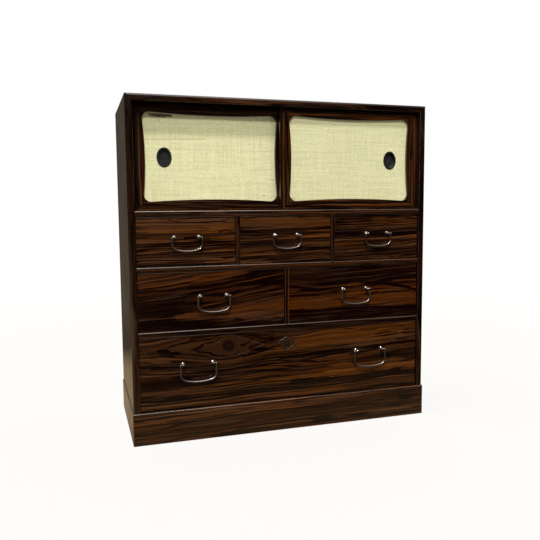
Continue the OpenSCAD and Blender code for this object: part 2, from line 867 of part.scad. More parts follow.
// Bail hanging from its two pins. From its tapered legs to its round elbows and its bowed
// grip each length is a little thicker than the last, which ends inside it.
module bail(x, z, post_gap, drop, grip_d, bow_a) {
    shoulder = 0.2;
    lap = 0.3;
    elbow_d = grip_d - shoulder;
    leg_low_d = elbow_d - shoulder;
    leg_d = grip_d - 1;
    leg_x = post_gap / 2 + ball_d / 2 + ball_gap + leg_d / 2;
    bow_r = elbow_r + (leg_x - elbow_r) / sin(bow_a);
    leg_l = drop - grip_d / 2 - bow_r + (bow_r - elbow_r) * cos(bow_a);
    pin_l = leg_x - post_gap / 2 + ball_d / 2 + pin_nib;
    lap_a = lap / elbow_r * 180 / PI;
    translate([x, bail_y, z]) {
        for (side = [-1, 1]) {
            translate([side * leg_x, 0, 0]) {
                rotate([0, -side * 90, 0]) cylinder(d = bail_pin_d, h = pin_l);
                leg_end(leg_d);
                translate([0, 0, -leg_l - lap])
                    cylinder(d1 = leg_low_d, d2 = leg_d, h = leg_l + lap);
            }
            translate([side * (leg_x - elbow_r), 0, -leg_l])
                rotate([-90, side > 0 ? 0 : 90 + bow_a - lap_a, 0])
                    rotate_extrude(angle = 90 - bow_a + lap_a)
                        translate([elbow_r, 0]) circle(d = elbow_d);
        }
        translate([0, 0, -leg_l + (bow_r - elbow_r) * cos(bow_a)])
            rotate([-90, 90 - bow_a, 0])
                rotate_extrude(angle = 2 * bow_a)
                    translate([bow_r, 0]) circle(d = grip_d);
    }
}

function pin_z(face, rise) = face[0] + face[1] / 2 + rise;
function post_pair(x, gap) = [x - gap / 2, x + gap / 2];

module small_posts(i) {
    bay = small_bays[i];
    color(bronze)
        for (x = post_pair(bay[0], small_post_gap))
            post(x, pin_z(bay_face(bay), small_handle_rise));
}

module small_bail(i) {
    bay = small_bays[i];
    color(bronze)
        bail(bay[0], pin_z(bay_face(bay), small_handle_rise), small_post_gap, small_drop,
            small_bail_d, 16);
}

module middle_posts(i) {
    bay = middle_bays[i];
    color(bronze)
        for (x = post_pair(bay[0], middle_post_gap))
            post(x, pin_z(bay_face(bay), middle_handle_rise));
}

module middle_bail(i) {
    bay = middle_bays[i];
    color(bronze)
        bail(bay[0], pin_z(bay_face(bay), middle_handle_rise), middle_post_gap, middle_drop,
            middle_bail_d, 15);
}

module large_bail(side) {
    color(bronze)
        bail(side * large_handle_x, pin_z(large_face, large_handle_rise), large_post_gap,
            large_drop, large_bail_d, 14);
}

module small_front(i) {
    bay = small_bays[i];
    color(stripe)
        drawer_front(bay, bay_face(bay), post_pair(bay[0], small_post_gap), small_handle_rise);
}

module middle_front(i) {
    bay = middle_bays[i];
    color(stripe)
        drawer_front(bay, bay_face(bay), post_pair(bay[0], middle_post_gap),
            middle_handle_rise);
}

module small_left_front() { small_front(0); }
module small_left_box() { drawer_box(small_bays[0]); }
module small_left_bottom() { drawer_bottom(small_bays[0]); }
module small_left_posts() { small_posts(0); }
module small_left_bail() { small_bail(0); }
module small_centre_front() { small_front(1); }
module small_centre_box() { drawer_box(small_bays[1]); }
module small_centre_bottom() { drawer_bottom(small_bays[1]); }
module small_centre_posts() { small_posts(1); }
module small_centre_bail() { small_bail(1); }
module small_right_front() { small_front(2); }
module small_right_box() { drawer_box(small_bays[2]); }
module small_right_bottom() { drawer_bottom(small_bays[2]); }
module small_right_posts() { small_posts(2); }
module small_right_bail() { small_bail(2); }

module middle_left_front() { middle_front(0); }
module middle_left_box() { drawer_box(middle_bays[0]); }
module middle_left_bottom() { drawer_bottom(middle_bays[0]); }
module middle_left_posts() { middle_posts(0); }
module middle_left_bail() { middle_bail(0); }
module middle_right_front() { middle_front(1); }
module middle_right_box() { drawer_box(middle_bays[1]); }
module middle_right_bottom() { drawer_bottom(middle_bays[1]); }
module middle_right_posts() { middle_posts(1); }
module middle_right_bail() { middle_bail(1); }

large_post_xs = concat(post_pair(-large_handle_x, large_post_gap),
    post_pair(large_handle_x, large_post_gap));

module large_front() {
    color(stripe)
        difference() {
            drawer_front(large_bay, large_face, large_post_xs, large_handle_rise);
            lock_recess();
            keyhole(drawer_y - cut, front_t);
        }
}

module large_box() { drawer_box(large_bay); }
module large_bottom() { drawer_bottom(large_bay); }

module large_posts() {
    color(bronze)
        for (x = large_post_xs) post(x, pin_z(large_face, large_handle_rise));
}

module large_left_bail() { large_bail(-1); }
module large_right_bail() { large_bail(1); }

// Lock of the large drawer

function bolt_y() = box_y - lock_t + lock_skin + bolt_gap;
lock_top_z = lower_rail_z - front_gap;

module lock_recess() {
    slab([-lock_w / 2, box_y - lock_t, lock_top_z - lock_h], [lock_w, lock_t + cut, lock_h + cut]);
}

module keyhole(y, length) {
    along_y(y, length + cut)
        translate([0, keyhole_z]) {
            circle(r = keyhole_r);
            translate([-keyhole_slot_w / 2, -keyhole_slot_h])
                square([keyhole_slot_w, keyhole_slot_h]);
        }
}

// Outline of the raised rim, which follows the keyhole
module keyhole_rim() {
    foot_r = keyhole_slot_w / 2 + key_rim;
    circle(r = keyhole_r + key_rim);
    translate([-foot_r, -keyhole_slot_h]) square([2 * foot_r, keyhole_slot_h]);
    translate([0, -keyhole_slot_h]) circle(r = foot_r);
}

module key_plate() {
    rim_t = 0.6;
    face_y = drawer_y - key_plate_t - key_plate_rise;
    difference() {
        union() {
            along_y(drawer_y - key_plate_t, key_plate_t)
                translate([0, keyhole_z])
                    polygon(lozenge(key_plate_w, key_plate_h, 1.3, key_plate_scallop));
            along_y(face_y, key_plate_rise + key_plate_t)
                translate([0, keyhole_z])
                    polygon(lozenge(key_plate_w - 4 * key_plate_step,
                        key_plate_h - 2 * key_plate_step, 1.3, key_plate_scallop));
            along_y(face_y - rim_t, rim_t + key_plate_rise + key_plate_t)
                translate([0, keyhole_z]) keyhole_rim();
        }
        keyhole(face_y - rim_t - cut, drawer_y - face_y + rim_t + cut);
    }
}

module lock_case() {
    difference() {
        slab([-lock_w / 2, box_y - lock_t, lock_top_z - lock_h], [lock_w, lock_t, lock_h]);
        slab([-bolt_w / 2 - bolt_gap, bolt_y() - bolt_gap, lock_top_z - bolt_h - bolt_gap],
            [bolt_w + 2 * bolt_gap, bolt_t + 2 * bolt_gap, bolt_h + bolt_gap + cut]);
        keyhole(box_y - lock_t - cut, lock_t - lock_skin);
    }
}

module lock_parts() {
    color(bronze) {
        key_plate();
        lock_case();
    }
}

module lock_bolt() {
    color(bronze)
        slab([-bolt_w / 2, bolt_y(), lock_top_z - bolt_h], [bolt_w, bolt_t, bolt_h]);
}

top_board();
left_side();
right_side();
shelf_board();
upper_rail();
lower_rail();
upper_run_board();
lower_run_board();
bottom_board();
small_dividers();
middle_divider();
back_panel();
drawer_stops();
plinth_front();
plinth_sides();
plinth_back();
plinth_blocks();
left_door_stiles();
left_door_rails();
left_door_panel();
left_door_cloth();
left_door_pull();
right_door_stiles();
right_door_rails();
right_door_panel();
right_door_cloth();
right_door_pull();
small_left_front();
small_left_box();
small_left_bottom();
small_left_posts();
small_left_bail();
small_centre_front();
small_centre_box();
small_centre_bottom();
small_centre_posts();
small_centre_bail();
small_right_front();
small_right_box();
small_right_bottom();
small_right_posts();
small_right_bail();
middle_left_front();
middle_left_box();
middle_left_bottom();
middle_left_posts();
middle_left_bail();
middle_right_front();
middle_right_box();
middle_right_bottom();
middle_right_posts();
middle_right_bail();
large_front();
large_box();
large_bottom();
large_posts();
large_left_bail();
large_right_bail();
lock_parts();
lock_bolt();
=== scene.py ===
"""Tea cabinet in striped ebony: finishes, cloth, handles, light and camera round its CAD nodes.

Lengths in the classes are in millimetres and become metres where a mesh or a shader takes
them. X runs to the right seen from the front, Y to the back and Z up from the floor.
"""

import logging
import math
from dataclasses import dataclass
from enum import Enum
from functools import partial, reduce
from typing import ClassVar

import bmesh
import bpy
from mathutils import Matrix, Vector


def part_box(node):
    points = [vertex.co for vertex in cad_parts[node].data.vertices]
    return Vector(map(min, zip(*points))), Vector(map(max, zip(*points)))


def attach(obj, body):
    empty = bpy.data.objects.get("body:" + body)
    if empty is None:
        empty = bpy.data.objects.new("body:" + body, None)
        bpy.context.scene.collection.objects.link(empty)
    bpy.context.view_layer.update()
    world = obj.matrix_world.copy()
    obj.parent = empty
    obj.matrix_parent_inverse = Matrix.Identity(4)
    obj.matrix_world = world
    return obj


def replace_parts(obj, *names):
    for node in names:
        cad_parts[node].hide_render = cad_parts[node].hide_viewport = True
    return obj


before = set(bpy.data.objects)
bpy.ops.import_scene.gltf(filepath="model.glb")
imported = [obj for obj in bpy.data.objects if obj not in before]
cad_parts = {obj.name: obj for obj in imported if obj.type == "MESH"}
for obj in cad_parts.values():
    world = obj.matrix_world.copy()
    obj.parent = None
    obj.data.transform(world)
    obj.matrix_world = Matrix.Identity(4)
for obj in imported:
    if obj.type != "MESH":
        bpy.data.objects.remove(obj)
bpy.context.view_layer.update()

LOG = logging.getLogger("tea_cabinet")
MM = 0.001
DRAWER_FACE = -150.65
SMALL_PITCH = 242.67

Colour = tuple[float, float, float, float]
Socket = bpy.types.NodeSocket
Feed = float | int | tuple | Vector | Socket
Feeds = dict[str | int, Feed]
Stops = tuple[tuple[float, Colour], ...]
Scale = float | tuple[float, float, float]


def rgb(red: float, green: float, blue: float) -> Colour:
    """A linear colour with full alpha."""
    return (red, green, blue, 1.0)


WHITE = rgb(1.0, 1.0, 1.0)


def add_object(name: str, data: bpy.types.ID | None) -> bpy.types.Object:
    """Adds an object to the scene.

    Args:
        name: Its name.
        data: Its mesh, lamp or lens.

    Returns:
        The new object.
    """
    made = bpy.data.objects.new(name, data)
    bpy.context.scene.collection.objects.link(made)
    return made


class Tree:
    """Adds nodes to one node tree and joins them up."""

    def __init__(self, nodes_of: bpy.types.NodeTree) -> None:
        """Keeps the tree that the nodes go into."""
        self.tree = nodes_of

    @classmethod
    def cleared(cls, owner: bpy.types.Material | bpy.types.World) -> "Tree":
        """The tree of a material or world, without the nodes that it starts with.

        Args:
            owner: The material or world.

        Returns:
            Its tree.
        """
        owner.use_nodes = True
        owner.node_tree.nodes.clear()
        return cls(owner.node_tree)

    def feed(self, socket: Socket, value: Feed) -> None:
        """Sets an input to a constant, or links another node's output to it.

        Args:
            socket: The input.
            value: A number, a tuple or an output socket.
        """
        if isinstance(value, bpy.types.NodeSocket):
            self.tree.links.new(value, socket)
        else:
            socket.default_value = value

    def node(self, kind: str, feeds: Feeds | None = None, **settings: object) -> bpy.types.Node:
        """Adds a node.

        Args:
            kind: The node's Blender type.
            feeds: What goes into its inputs, by name or index.
            settings: Properties of the node.

        Returns:
            The new node.
        """
        made = self.tree.nodes.new(kind)
        for name, value in settings.items():
            setattr(made, name, value)
        for key, value in (feeds or {}).items():
            self.feed(made.inputs[key], value)
        return made

    def math(self, operation: str, *feeds: Feed, clamp: bool = False) -> Socket:
        """A Math node's result."""
        settings = {"operation": operation, "use_clamp": clamp}
        return self.node("ShaderNodeMath", dict(enumerate(feeds)), **settings).outputs[0]

    def vector(self, operation: str, *feeds: Feed) -> Socket:
        """A Vector Math node's result."""
        made = self.node("ShaderNodeVectorMath", dict(enumerate(feeds)), operation=operation)
        return made.outputs["Value" if operation in ("LENGTH", "DOT_PRODUCT") else "Vector"]

    def total(self, *feeds: Feed) -> Socket:
        """The sum of two or more values."""
        return reduce(partial(self.math, "ADD"), feeds)

    def times(self, *feeds: Feed) -> Socket:
        """The product of two or more values."""
        return reduce(partial(self.math, "MULTIPLY"), feeds)

    def minus(self, first: Feed, second: Feed, clamp: bool = False) -> Socket:
        """The first value less the second."""
        return self.math("SUBTRACT", first, second, clamp=clamp)

    def linear(self, value: Feed, slope: Feed, offset: Feed, clamp: bool = False) -> Socket:
        """A value times a slope, plus an offset."""
        return self.math("MULTIPLY_ADD", value, slope, offset, clamp=clamp)

    def weighted(self, *terms: tuple[Feed, Feed] | Feed) -> Socket:
        """The sum of the terms, where a pair stands for a value times its weight."""
        return self.total(*(self.times(*t) if isinstance(t, tuple) else t for t in terms))

    def swing(self, value: Socket, reach: Feed) -> Socket:
        """A value from 0 to 1 turned into one from minus to plus reach."""
        return self.times(self.linear(value, 2.0, -1.0), reach)

    def step(self, value: Feed, low: float, high: float) -> Socket:
        """A smooth step from 0 at low to 1 at high.

        Args:
            value: What is compared.
            low: Where the step starts. It may be the larger of the two.
            high: Where the step ends.

        Returns:
            A mask from 0 to 1.
        """
        (start, before), (end, after) = sorted(((low, 0.0), (high, 1.0)))
        feeds: Feeds = {
            "Value": value, "From Min": start, "From Max": end, "To Min": before, "To Max": after,
        }
        return self.node("ShaderNodeMapRange", feeds, interpolation_type="SMOOTHSTEP").outputs[0]

    def blend(self, factor: Feed, first: Feed, second: Feed, mode: str = "MIX") -> Socket:
        """A mix of two colours."""
        feeds: Feeds = {0: factor, 6: first, 7: second}
        return self.node("ShaderNodeMix", feeds, data_type="RGBA", blend_type=mode).outputs[2]

    def mixed(self, factor: Feed, first: Feed, second: Feed) -> Socket:
        """A mix of two values."""
        return self.node("ShaderNodeMix", {0: factor, 2: first, 3: second}).outputs[0]

    def ramp(self, factor: Feed, stops: Stops) -> Socket:
        """A colour ramp.

        Args:
            factor: The value that is looked up.
            stops: Positions and their colours, in order.

        Returns:
            The colour's socket.
        """
        made = self.node("ShaderNodeValToRGB", {0: factor})
        points = made.color_ramp.elements
        while len(points) < len(stops):
            points.new(0.5)
        for point, (position, colour) in zip(points, stops):
            point.position, point.color = position, colour
        return made.outputs[0]

    def split(self, vector: Feed) -> tuple[Socket, Socket, Socket]:
        """The three parts of a vector."""
        return tuple(self.node("ShaderNodeSeparateXYZ", {0: vector}).outputs)

    def join(self, x: Feed, y: Feed, z: Feed) -> Socket:
        """A vector from three values."""
        return self.node("ShaderNodeCombineXYZ", {0: x, 1: y, 2: z}).outputs[0]

    def noise(self, at: Feed, scale: Scale, detail: float = 2.0, rough: float = 0.5) -> Socket:
        """Noise from 0 to 1.

        Args:
            at: Where it is looked up.
            scale: How many features it has in a metre, in all or along each axis.
            detail: How many finer layers it has.
            rough: How strong the finer layers are.

        Returns:
            The noise's socket.
        """
        scaled = self.vector("MULTIPLY", at, scale if isinstance(scale, tuple) else (scale,) * 3)
        feeds: Feeds = {"Vector": scaled, "Scale": 1.0, "Detail": detail, "Roughness": rough}
        return self.node("ShaderNodeTexNoise", feeds).outputs[0]


class GroupTree(Tree):
    """The inside of an effect."""

    def __init__(self, nodes_of: bpy.types.NodeTree) -> None:
        """Adds the group's input node."""
        super().__init__(nodes_of)
        self.given = self.node("NodeGroupInput").outputs


class MaterialTree(Tree):
    """A material's nodes round its Principled BSDF."""

    def __init__(self, nodes_of: bpy.types.NodeTree) -> None:
        """Adds the shader, the output and the surface point.

        Args:
            nodes_of: The material's own tree.
        """
        super().__init__(nodes_of)
        self.shader = self.node("ShaderNodeBsdfPrincipled")
        self.node("ShaderNodeOutputMaterial", {"Surface": self.shader.outputs[0]})
        self.place = self.node("ShaderNodeTexCoord").outputs["Object"]

    def surface(self, feeds: dict[str, Feed], height: Socket, depth: float) -> None:
        """Feeds the shader.

        Args:
            feeds: What goes into its inputs, by name.
            height: The surface's height, in units of depth.
            depth: What a height of one stands for, in metres.
        """
        bump = self.node("ShaderNodeBump", {"Height": height, "Distance": depth, "Strength": 1.0})
        for name, value in {**feeds, "Normal": bump.outputs[0]}.items():
            self.feed(self.shader.inputs[name], value)


class PortKind(Enum):
    """What a socket of an effect carries."""

    VALUE = "NodeSocketFloat"
    COLOUR = "NodeSocketColor"
    VECTOR = "NodeSocketVector"


VALUE, COLOUR, VECTOR = PortKind
Ports = dict[str, PortKind | float]


class Effect:
    """A shader effect that several materials share. Its node group is built once.

    Its inputs and outputs are named. A number stands for a value's default.
    """

    title: ClassVar[str] = ""
    inputs: ClassVar[Ports] = {}
    outputs: ClassVar[Ports] = {}

    @classmethod
    def group(cls) -> bpy.types.NodeTree:
        """The effect's node group.

        Returns:
            The group, made the first time that it is asked for.
        """
        found = bpy.data.node_groups.get(cls.title)
        if found:
            return found
        made = bpy.data.node_groups.new(cls.title, "ShaderNodeTree")
        for in_out, ports in (("INPUT", cls.inputs), ("OUTPUT", cls.outputs)):
            for name, port in ports.items():
                kind = port if isinstance(port, PortKind) else VALUE
                socket = made.interface.new_socket(name, in_out=in_out, socket_type=kind.value)
                if port is not kind:
                    socket.default_value = port
        tree = GroupTree(made)
        tree.node("NodeGroupOutput", cls.wire(tree))
        return made

    @classmethod
    def wire(cls, tree: GroupTree) -> dict[str, Socket]:
        """Builds the group's inside, and tells what each of its outputs carries."""
        raise NotImplementedError

    @classmethod
    def put(cls, tree: Tree, feeds: dict[str, Feed]) -> bpy.types.NodeOutputs:
        """Puts the effect into a material, with its inputs by name."""
        return tree.node("ShaderNodeGroup", feeds, node_tree=cls.group()).outputs


class GrainFlow(Effect):
    """Bends a board's coordinates so that the grain leans, fans out and wanders."""

    title = "grain flow"
    inputs = {"Vector": VECTOR, "Seed": 0.0, "Tilt": 0.0, "Fan": 0.0, "Wander": 0.006}
    outputs = {"Vector": VECTOR, "Ragged": VALUE}

    @classmethod
    def wire(cls, tree: GroupTree) -> dict[str, Socket]:
        """Leans the grain, then adds slow, middling and fine waves across it.

        Args:
            tree: The group's tree.

        Returns:
            The bent coordinates, and a noise for ragged edges.
        """
        given = tree.given
        along, across, through = tree.split(given["Vector"])
        seeded = tree.join(along, across, tree.total(through, given["Seed"]))
        slow = tree.noise(seeded, (2.1, 5.5, 1.0), 1.0)
        middling = tree.noise(seeded, (7.5, 9.0, 3.0), 1.0)
        fine = tree.noise(seeded, (24.0, 60.0, 7.0), 1.0)
        lean = tree.linear(given["Fan"], across, given["Tilt"])
        bent = tree.total(
            across,
            tree.times(through, 0.35),
            tree.times(along, lean, -1.0),
            tree.swing(slow, tree.times(given["Wander"], 2.6)),
            tree.swing(middling, tree.times(given["Wander"], 1.5)),
            tree.swing(fine, 0.0008),
        )
        flow = tree.join(along, bent, tree.times(given["Seed"], 3.7))
        return {"Vector": flow, "Ragged": tree.noise(flow, (15.0, 240.0, 1.0), 3.0, 0.6)}


class Streak(Effect):
    """One long streak of the figure, pointed at both ends, that follows the grain."""

    title = "figure streak"
    inputs = {
        "Vector": VECTOR, "Ragged": 0.5, "Along": 0.0, "Across": 0.0, "Half length": 0.1,
        "Half width": 0.005, "Slope": 0.0, "Softness": 0.3, "Bluntness": 0.5, "Strength": 1.0,
    }
    outputs = {"Tone": VALUE}

    @classmethod
    def wire(cls, tree: GroupTree) -> dict[str, Socket]:
        """Compares the distance from the streak's middle line with its tapering width.

        Args:
            tree: The group's tree.

        Returns:
            What the streak adds to the tone.
        """
        given = tree.given
        along, across, _ = tree.split(given["Vector"])
        run = tree.minus(along, given["Along"])
        ratio = tree.math("DIVIDE", run, given["Half length"])
        taper = tree.minus(1.0, tree.times(ratio, ratio), clamp=True)
        middle = tree.linear(run, given["Slope"], given["Across"])
        away = tree.math("ABSOLUTE", tree.minus(across, middle))
        width = tree.times(
            given["Half width"],
            tree.math("POWER", taper, given["Bluntness"]),
            tree.linear(given["Ragged"], 2.4, -0.2),
        )
        share = tree.math("DIVIDE", away, tree.math("MAXIMUM", width, 1e-5))
        edge = tree.math("DIVIDE", tree.minus(1.0, share), given["Softness"])
        ends = tree.step(taper, 0.0, 0.15)
        return {"Tone": tree.times(tree.step(edge, -0.5, 0.5), ends, given["Strength"])}


class StripedFigure(Effect):
    """The dark and light stripes of ebony, from black-brown to orange-brown."""

    title = "striped figure"
    inputs = {"Vector": VECTOR, "Bias": 0.0, "Contrast": 1.0, "Lines": 1.0, "Tint": COLOUR}
    outputs = {"Color": COLOUR, "Tone": VALUE, "Pores": VALUE, "Height": VALUE}
    SHADES: ClassVar[Stops] = (
        (0.00, rgb(0.0024, 0.0001, 0.0000)),
        (0.15, rgb(0.0058, 0.0010, 0.0001)),
        (0.30, rgb(0.0106, 0.0027, 0.0005)),
        (0.42, rgb(0.0168, 0.0052, 0.0013)),
        (0.54, rgb(0.0270, 0.0087, 0.0021)),
        (0.68, rgb(0.0430, 0.0130, 0.0027)),
        (0.82, rgb(0.0610, 0.0188, 0.0036)),
        (1.00, rgb(0.0940, 0.0335, 0.0085)),
    )
    COOL: ClassVar[Colour] = rgb(0.92, 1.04, 1.60)
    WARM: ClassVar[Colour] = rgb(1.08, 0.96, 0.50)
    ASH: ClassVar[Colour] = rgb(0.066, 0.034, 0.022)
    PORE: ClassVar[Colour] = rgb(0.003, 0.0012, 0.0006)

    @classmethod
    def wire(cls, tree: GroupTree) -> dict[str, Socket]:
        """Adds stripes of four widths and growth lines, and looks the sum up in the shades.

        Args:
            tree: The group's tree.

        Returns:
            The colour, the tone before the shades, the pores and the height.
        """
        given = tree.given
        flow = given["Vector"]
        broad = tree.noise(flow, (0.7, 38.0, 1.0))
        narrow = tree.noise(flow, (1.2, 120.0, 1.0), 2.0, 0.6)
        hairs = tree.noise(flow, (1.8, 230.0, 1.0), 2.0, 0.6)
        fibre = tree.noise(flow, (5.0, 430.0, 1.0), 2.0, 0.6)
        lively = tree.noise(flow, (1.4, 24.0, 4.1), 1.0)
        reach = tree.linear(tree.step(lively, 0.38, 0.60), 0.70, 0.62)
        stripes = tree.total(
            tree.swing(tree.step(broad, 0.40, 0.60), 0.09),
            tree.swing(tree.step(narrow, 0.43, 0.57), tree.times(reach, 0.13)),
            tree.swing(tree.step(hairs, 0.42, 0.58), tree.times(reach, 0.17)),
            tree.swing(tree.step(fibre, 0.36, 0.64), 0.13),
        )
        lines = tree.times(cls.growth_lines(tree, flow), given["Lines"])
        marked = tree.minus(stripes, tree.times(lines, 0.72))
        tone = tree.weighted((marked, given["Contrast"]), given["Bias"], 0.53)
        shade = tree.blend(1.0, tree.ramp(tone, cls.SHADES), given["Tint"], "MULTIPLY")
        warmth = tree.step(tree.noise(flow, (1.6, 26.0, 2.3)), 0.40, 0.60)
        shade = tree.blend(1.0, shade, tree.blend(warmth, cls.COOL, cls.WARM), "MULTIPLY")
        ashen = tree.step(tree.noise(flow, (5.0, 300.0, 1.7), 1.0), 0.60, 0.74)
        greyed = tree.blend(tree.times(ashen, 0.42), shade, cls.ASH)
        pits = tree.step(tree.noise(flow, (80.0, 2600.0, 1.0), 1.0), 0.62, 0.74)
        return {
            "Color": tree.blend(tree.times(pits, 0.35), greyed, cls.PORE),
            "Tone": tone,
            "Pores": pits,
            "Height": tree.weighted((pits, -1.0), (hairs, 0.6), (lines, -0.4)),
        }

    @classmethod
    def growth_lines(cls, tree: Tree, flow: Socket) -> Socket:
        """Thin dark lines a few millimetres apart that drift, close up and fade.

        Args:
            tree: The group's tree.
            flow: The grain's coordinates.

        Returns:
            A mask that is one on a line.
        """
        _, across, _ = tree.split(flow)
        masks = []
        for pitch, slant, width in ((80.0, 1.0, 0.19), (120.0, 1.7, 0.22)):
            drift = tree.noise(flow, (2.2 * slant, 24.0 * slant, slant))
            gap = tree.math("PINGPONG", tree.linear(across, pitch, tree.times(drift, 6.0)), 0.5)
            fade = tree.noise(flow, (2.0, 60.0 * slant, 2.1 * slant), 1.0)
            line = tree.step(gap, width, width * 0.45)
            masks.append(tree.times(line, tree.step(fade, 0.42, 0.56)))
        return tree.math("MAXIMUM", masks[0], tree.times(masks[1], 0.7))


class Handling(Effect):
    """Uneven polish: faint smears, dust and rubbed patches."""

    title = "handling"
    inputs = {"Vector": VECTOR, "Seed": 0.0}
    outputs = {"Smears": VALUE, "Dust": VALUE}

    @classmethod
    def wire(cls, tree: GroupTree) -> dict[str, Socket]:
        """Makes smears a hand wide and specks under a millimetre.

        Args:
            tree: The group's tree.

        Returns:
            A mask of the smears and one of the specks.
        """
        offset = tree.vector("ADD", tree.given["Vector"], tree.given["Seed"])
        cloudy, specks = tree.noise(offset, 9.0, 3.0, 0.6), tree.noise(offset, 900.0, 1.0)
        return {"Smears": tree.step(cloudy, 0.35, 0.75), "Dust": tree.step(specks, 0.70, 0.80)}


class EdgeWearAndGlint(Effect):
    """Rubbed arrises: high near the edges of a board's box, broken up by noise, and the front top
    arris, where a highlight is painted.
    """

    title = "edge wear and glint"
    inputs = {
        "Vector": VECTOR, "Centre": VECTOR, "Half size": VECTOR,
        "Width": 0.0015, "Glint width": 0.0011,
    }
    outputs = {"Mask": VALUE, "Glint": VALUE}

    @classmethod
    def wire(cls, tree: GroupTree) -> dict[str, Socket]:
        """Takes the second smallest distance from the box's faces, which is zero on its edges.

        Args:
            tree: The group's tree.

        Returns:
            A mask of the arrises, and one of the arris where a highlight is painted.
        """
        given = tree.given
        local = tree.vector("SUBTRACT", given["Vector"], given["Centre"])
        inset = tree.vector("SUBTRACT", given["Half size"], tree.vector("ABSOLUTE", local))
        x, y, z = tree.split(inset)
        high_xy = tree.math("MAXIMUM", x, y)
        second = tree.math("MAXIMUM", tree.math("MINIMUM", x, y), tree.math("MINIMUM", high_xy, z))
        broken = tree.noise(given["Vector"], 160.0, 3.0)
        reach = tree.times(given["Width"], tree.times(broken, 2.0))
        near = tree.minus(1.0, tree.math("DIVIDE", second, reach), clamp=True)
        return {"Mask": near, "Glint": cls.glint(tree, local)}

    @classmethod
    def glint(cls, tree: GroupTree, local: Socket) -> Socket:
        """Finds the front top arris, where a highlight is painted, strongest towards the left.

        Args:
            tree: The group's tree.
            local: The point from the box's middle.

        Returns:
            A mask that is one on the arris.
        """
        given = tree.given
        _, back, up = tree.split(local)
        _, half_depth, half_height = tree.split(given["Half size"])
        from_front = tree.math("DIVIDE", tree.total(back, half_depth), given["Glint width"])
        from_top = tree.math("DIVIDE", tree.minus(half_height, up), given["Glint width"])
        edge = tree.times(tree.step(from_front, 1.3, 0.8), tree.step(from_top, 1.3, 0.8))
        # The painted highlight is strongest towards the left and broken up in patches.
        leftward = tree.step(tree.split(given["Vector"])[0], 0.20, -0.36)
        patchy = tree.times(tree.noise(given["Vector"], 14.0, 3.0), 0.45)
        return tree.math("MULTIPLY", edge, tree.linear(leftward, 0.80, patchy), clamp=True)


class Weave(Effect):
    """Plain weave of uneven hemp threads, thicker in places along the weft."""

    title = "plain weave"
    inputs = {"Vector": VECTOR, "Seed": 0.0, "Pitch": 0.0009}
    outputs = {"Threads": VALUE, "Slubs": VALUE, "Bands": VALUE, "Mottle": VALUE, "Height": VALUE}

    @classmethod
    def wire(cls, tree: GroupTree) -> dict[str, Socket]:
        """Crosses rounded threads over and under, then adds slubs and slow bands.

        Args:
            tree: The group's tree.

        Returns:
            The threads' height, the slubs, the bands, the mottle and the whole height.
        """
        given = tree.given
        x, _, z = tree.split(given["Vector"])
        plane = tree.join(x, z, given["Seed"])
        shift = tree.swing(tree.noise(plane, (40.0, 40.0, 1.0)), 0.0009)
        warp, weft = (
            tree.math(
                "SINE",
                tree.math("DIVIDE", tree.times(tree.total(part, shift), math.pi), given["Pitch"]),
            )
            for part in (x, z)
        )
        over = tree.step(tree.times(warp, weft), -0.15, 0.15)
        round_warp, round_weft = (
            tree.math("SQRT", tree.math("ABSOLUTE", wave)) for wave in (warp, weft)
        )
        height = tree.weighted((over, round_weft), (tree.minus(1.0, over), round_warp))
        weft_slubs = tree.step(tree.noise(plane, (11.0, 620.0, 1.0), 2.0, 0.6), 0.50, 0.78)
        warp_slubs = tree.step(tree.noise(plane, (520.0, 9.0, 2.0), 1.0), 0.56, 0.80)
        slubs = tree.weighted(weft_slubs, (warp_slubs, 0.45))
        bands = tree.noise(plane, (26.0, 3.0, 1.0))
        lines = tree.noise(plane, (3.0, 150.0, 1.0))
        blots = tree.step(tree.noise(plane, (420.0, 480.0, 1.0), 2.0, 0.7), 0.30, 0.70)
        rows = tree.step(tree.noise(plane, (9.0, 340.0, 3.0)), 0.40, 0.66)
        columns = tree.step(tree.noise(plane, (330.0, 8.0, 5.0)), 0.40, 0.66)
        return {
            "Threads": height,
            "Slubs": slubs,
            "Bands": tree.weighted((bands, 0.5), (lines, 0.5)),
            "Mottle": tree.weighted((blots, 0.70), (rows, 0.26), (columns, 0.24)),
            "Height": tree.weighted(height, (slubs, 0.7)),
        }


class Patina(Effect):
    """Old metal: cloudy darkening, a brighter rubbed side and fine pitting."""

    title = "patina"
    inputs = {"Vector": VECTOR, "Seed": 0.0}
    outputs = {"Clouds": VALUE, "Pits": VALUE, "Height": VALUE}

    @classmethod
    def wire(cls, tree: GroupTree) -> dict[str, Socket]:
        """Makes clouds a few millimetres wide and pits a fifth of a millimetre wide.

        Args:
            tree: The group's tree.

        Returns:
            A mask of the clouds, one of the pits, and the height.
        """
        offset = tree.vector("ADD", tree.given["Vector"], tree.given["Seed"])
        clouds = tree.noise(offset, 260.0, 3.0, 0.6)
        pits = tree.step(tree.noise(offset, 3800.0, 1.0), 0.60, 0.72)
        height = tree.weighted((clouds, 0.6), (pits, -0.4))
        return {"Clouds": tree.step(clouds, 0.30, 0.72), "Pits": pits, "Height": height}


class GrainRun(Enum):
    """Which axes run along, across and through a board's grain."""

    FRONT = (0, 2, 1)
    UPRIGHT = (2, 0, 1)
    SIDE = (2, 1, 0)
    SIDE_LEVEL = (1, 2, 0)
    FLAT = (0, 1, 2)

    def turned(self, tree: Tree, place: Socket) -> Socket:
        """A point along, across and through the grain."""
        parts = tree.split(place)
        return tree.join(*(parts[axis] for axis in self.value))


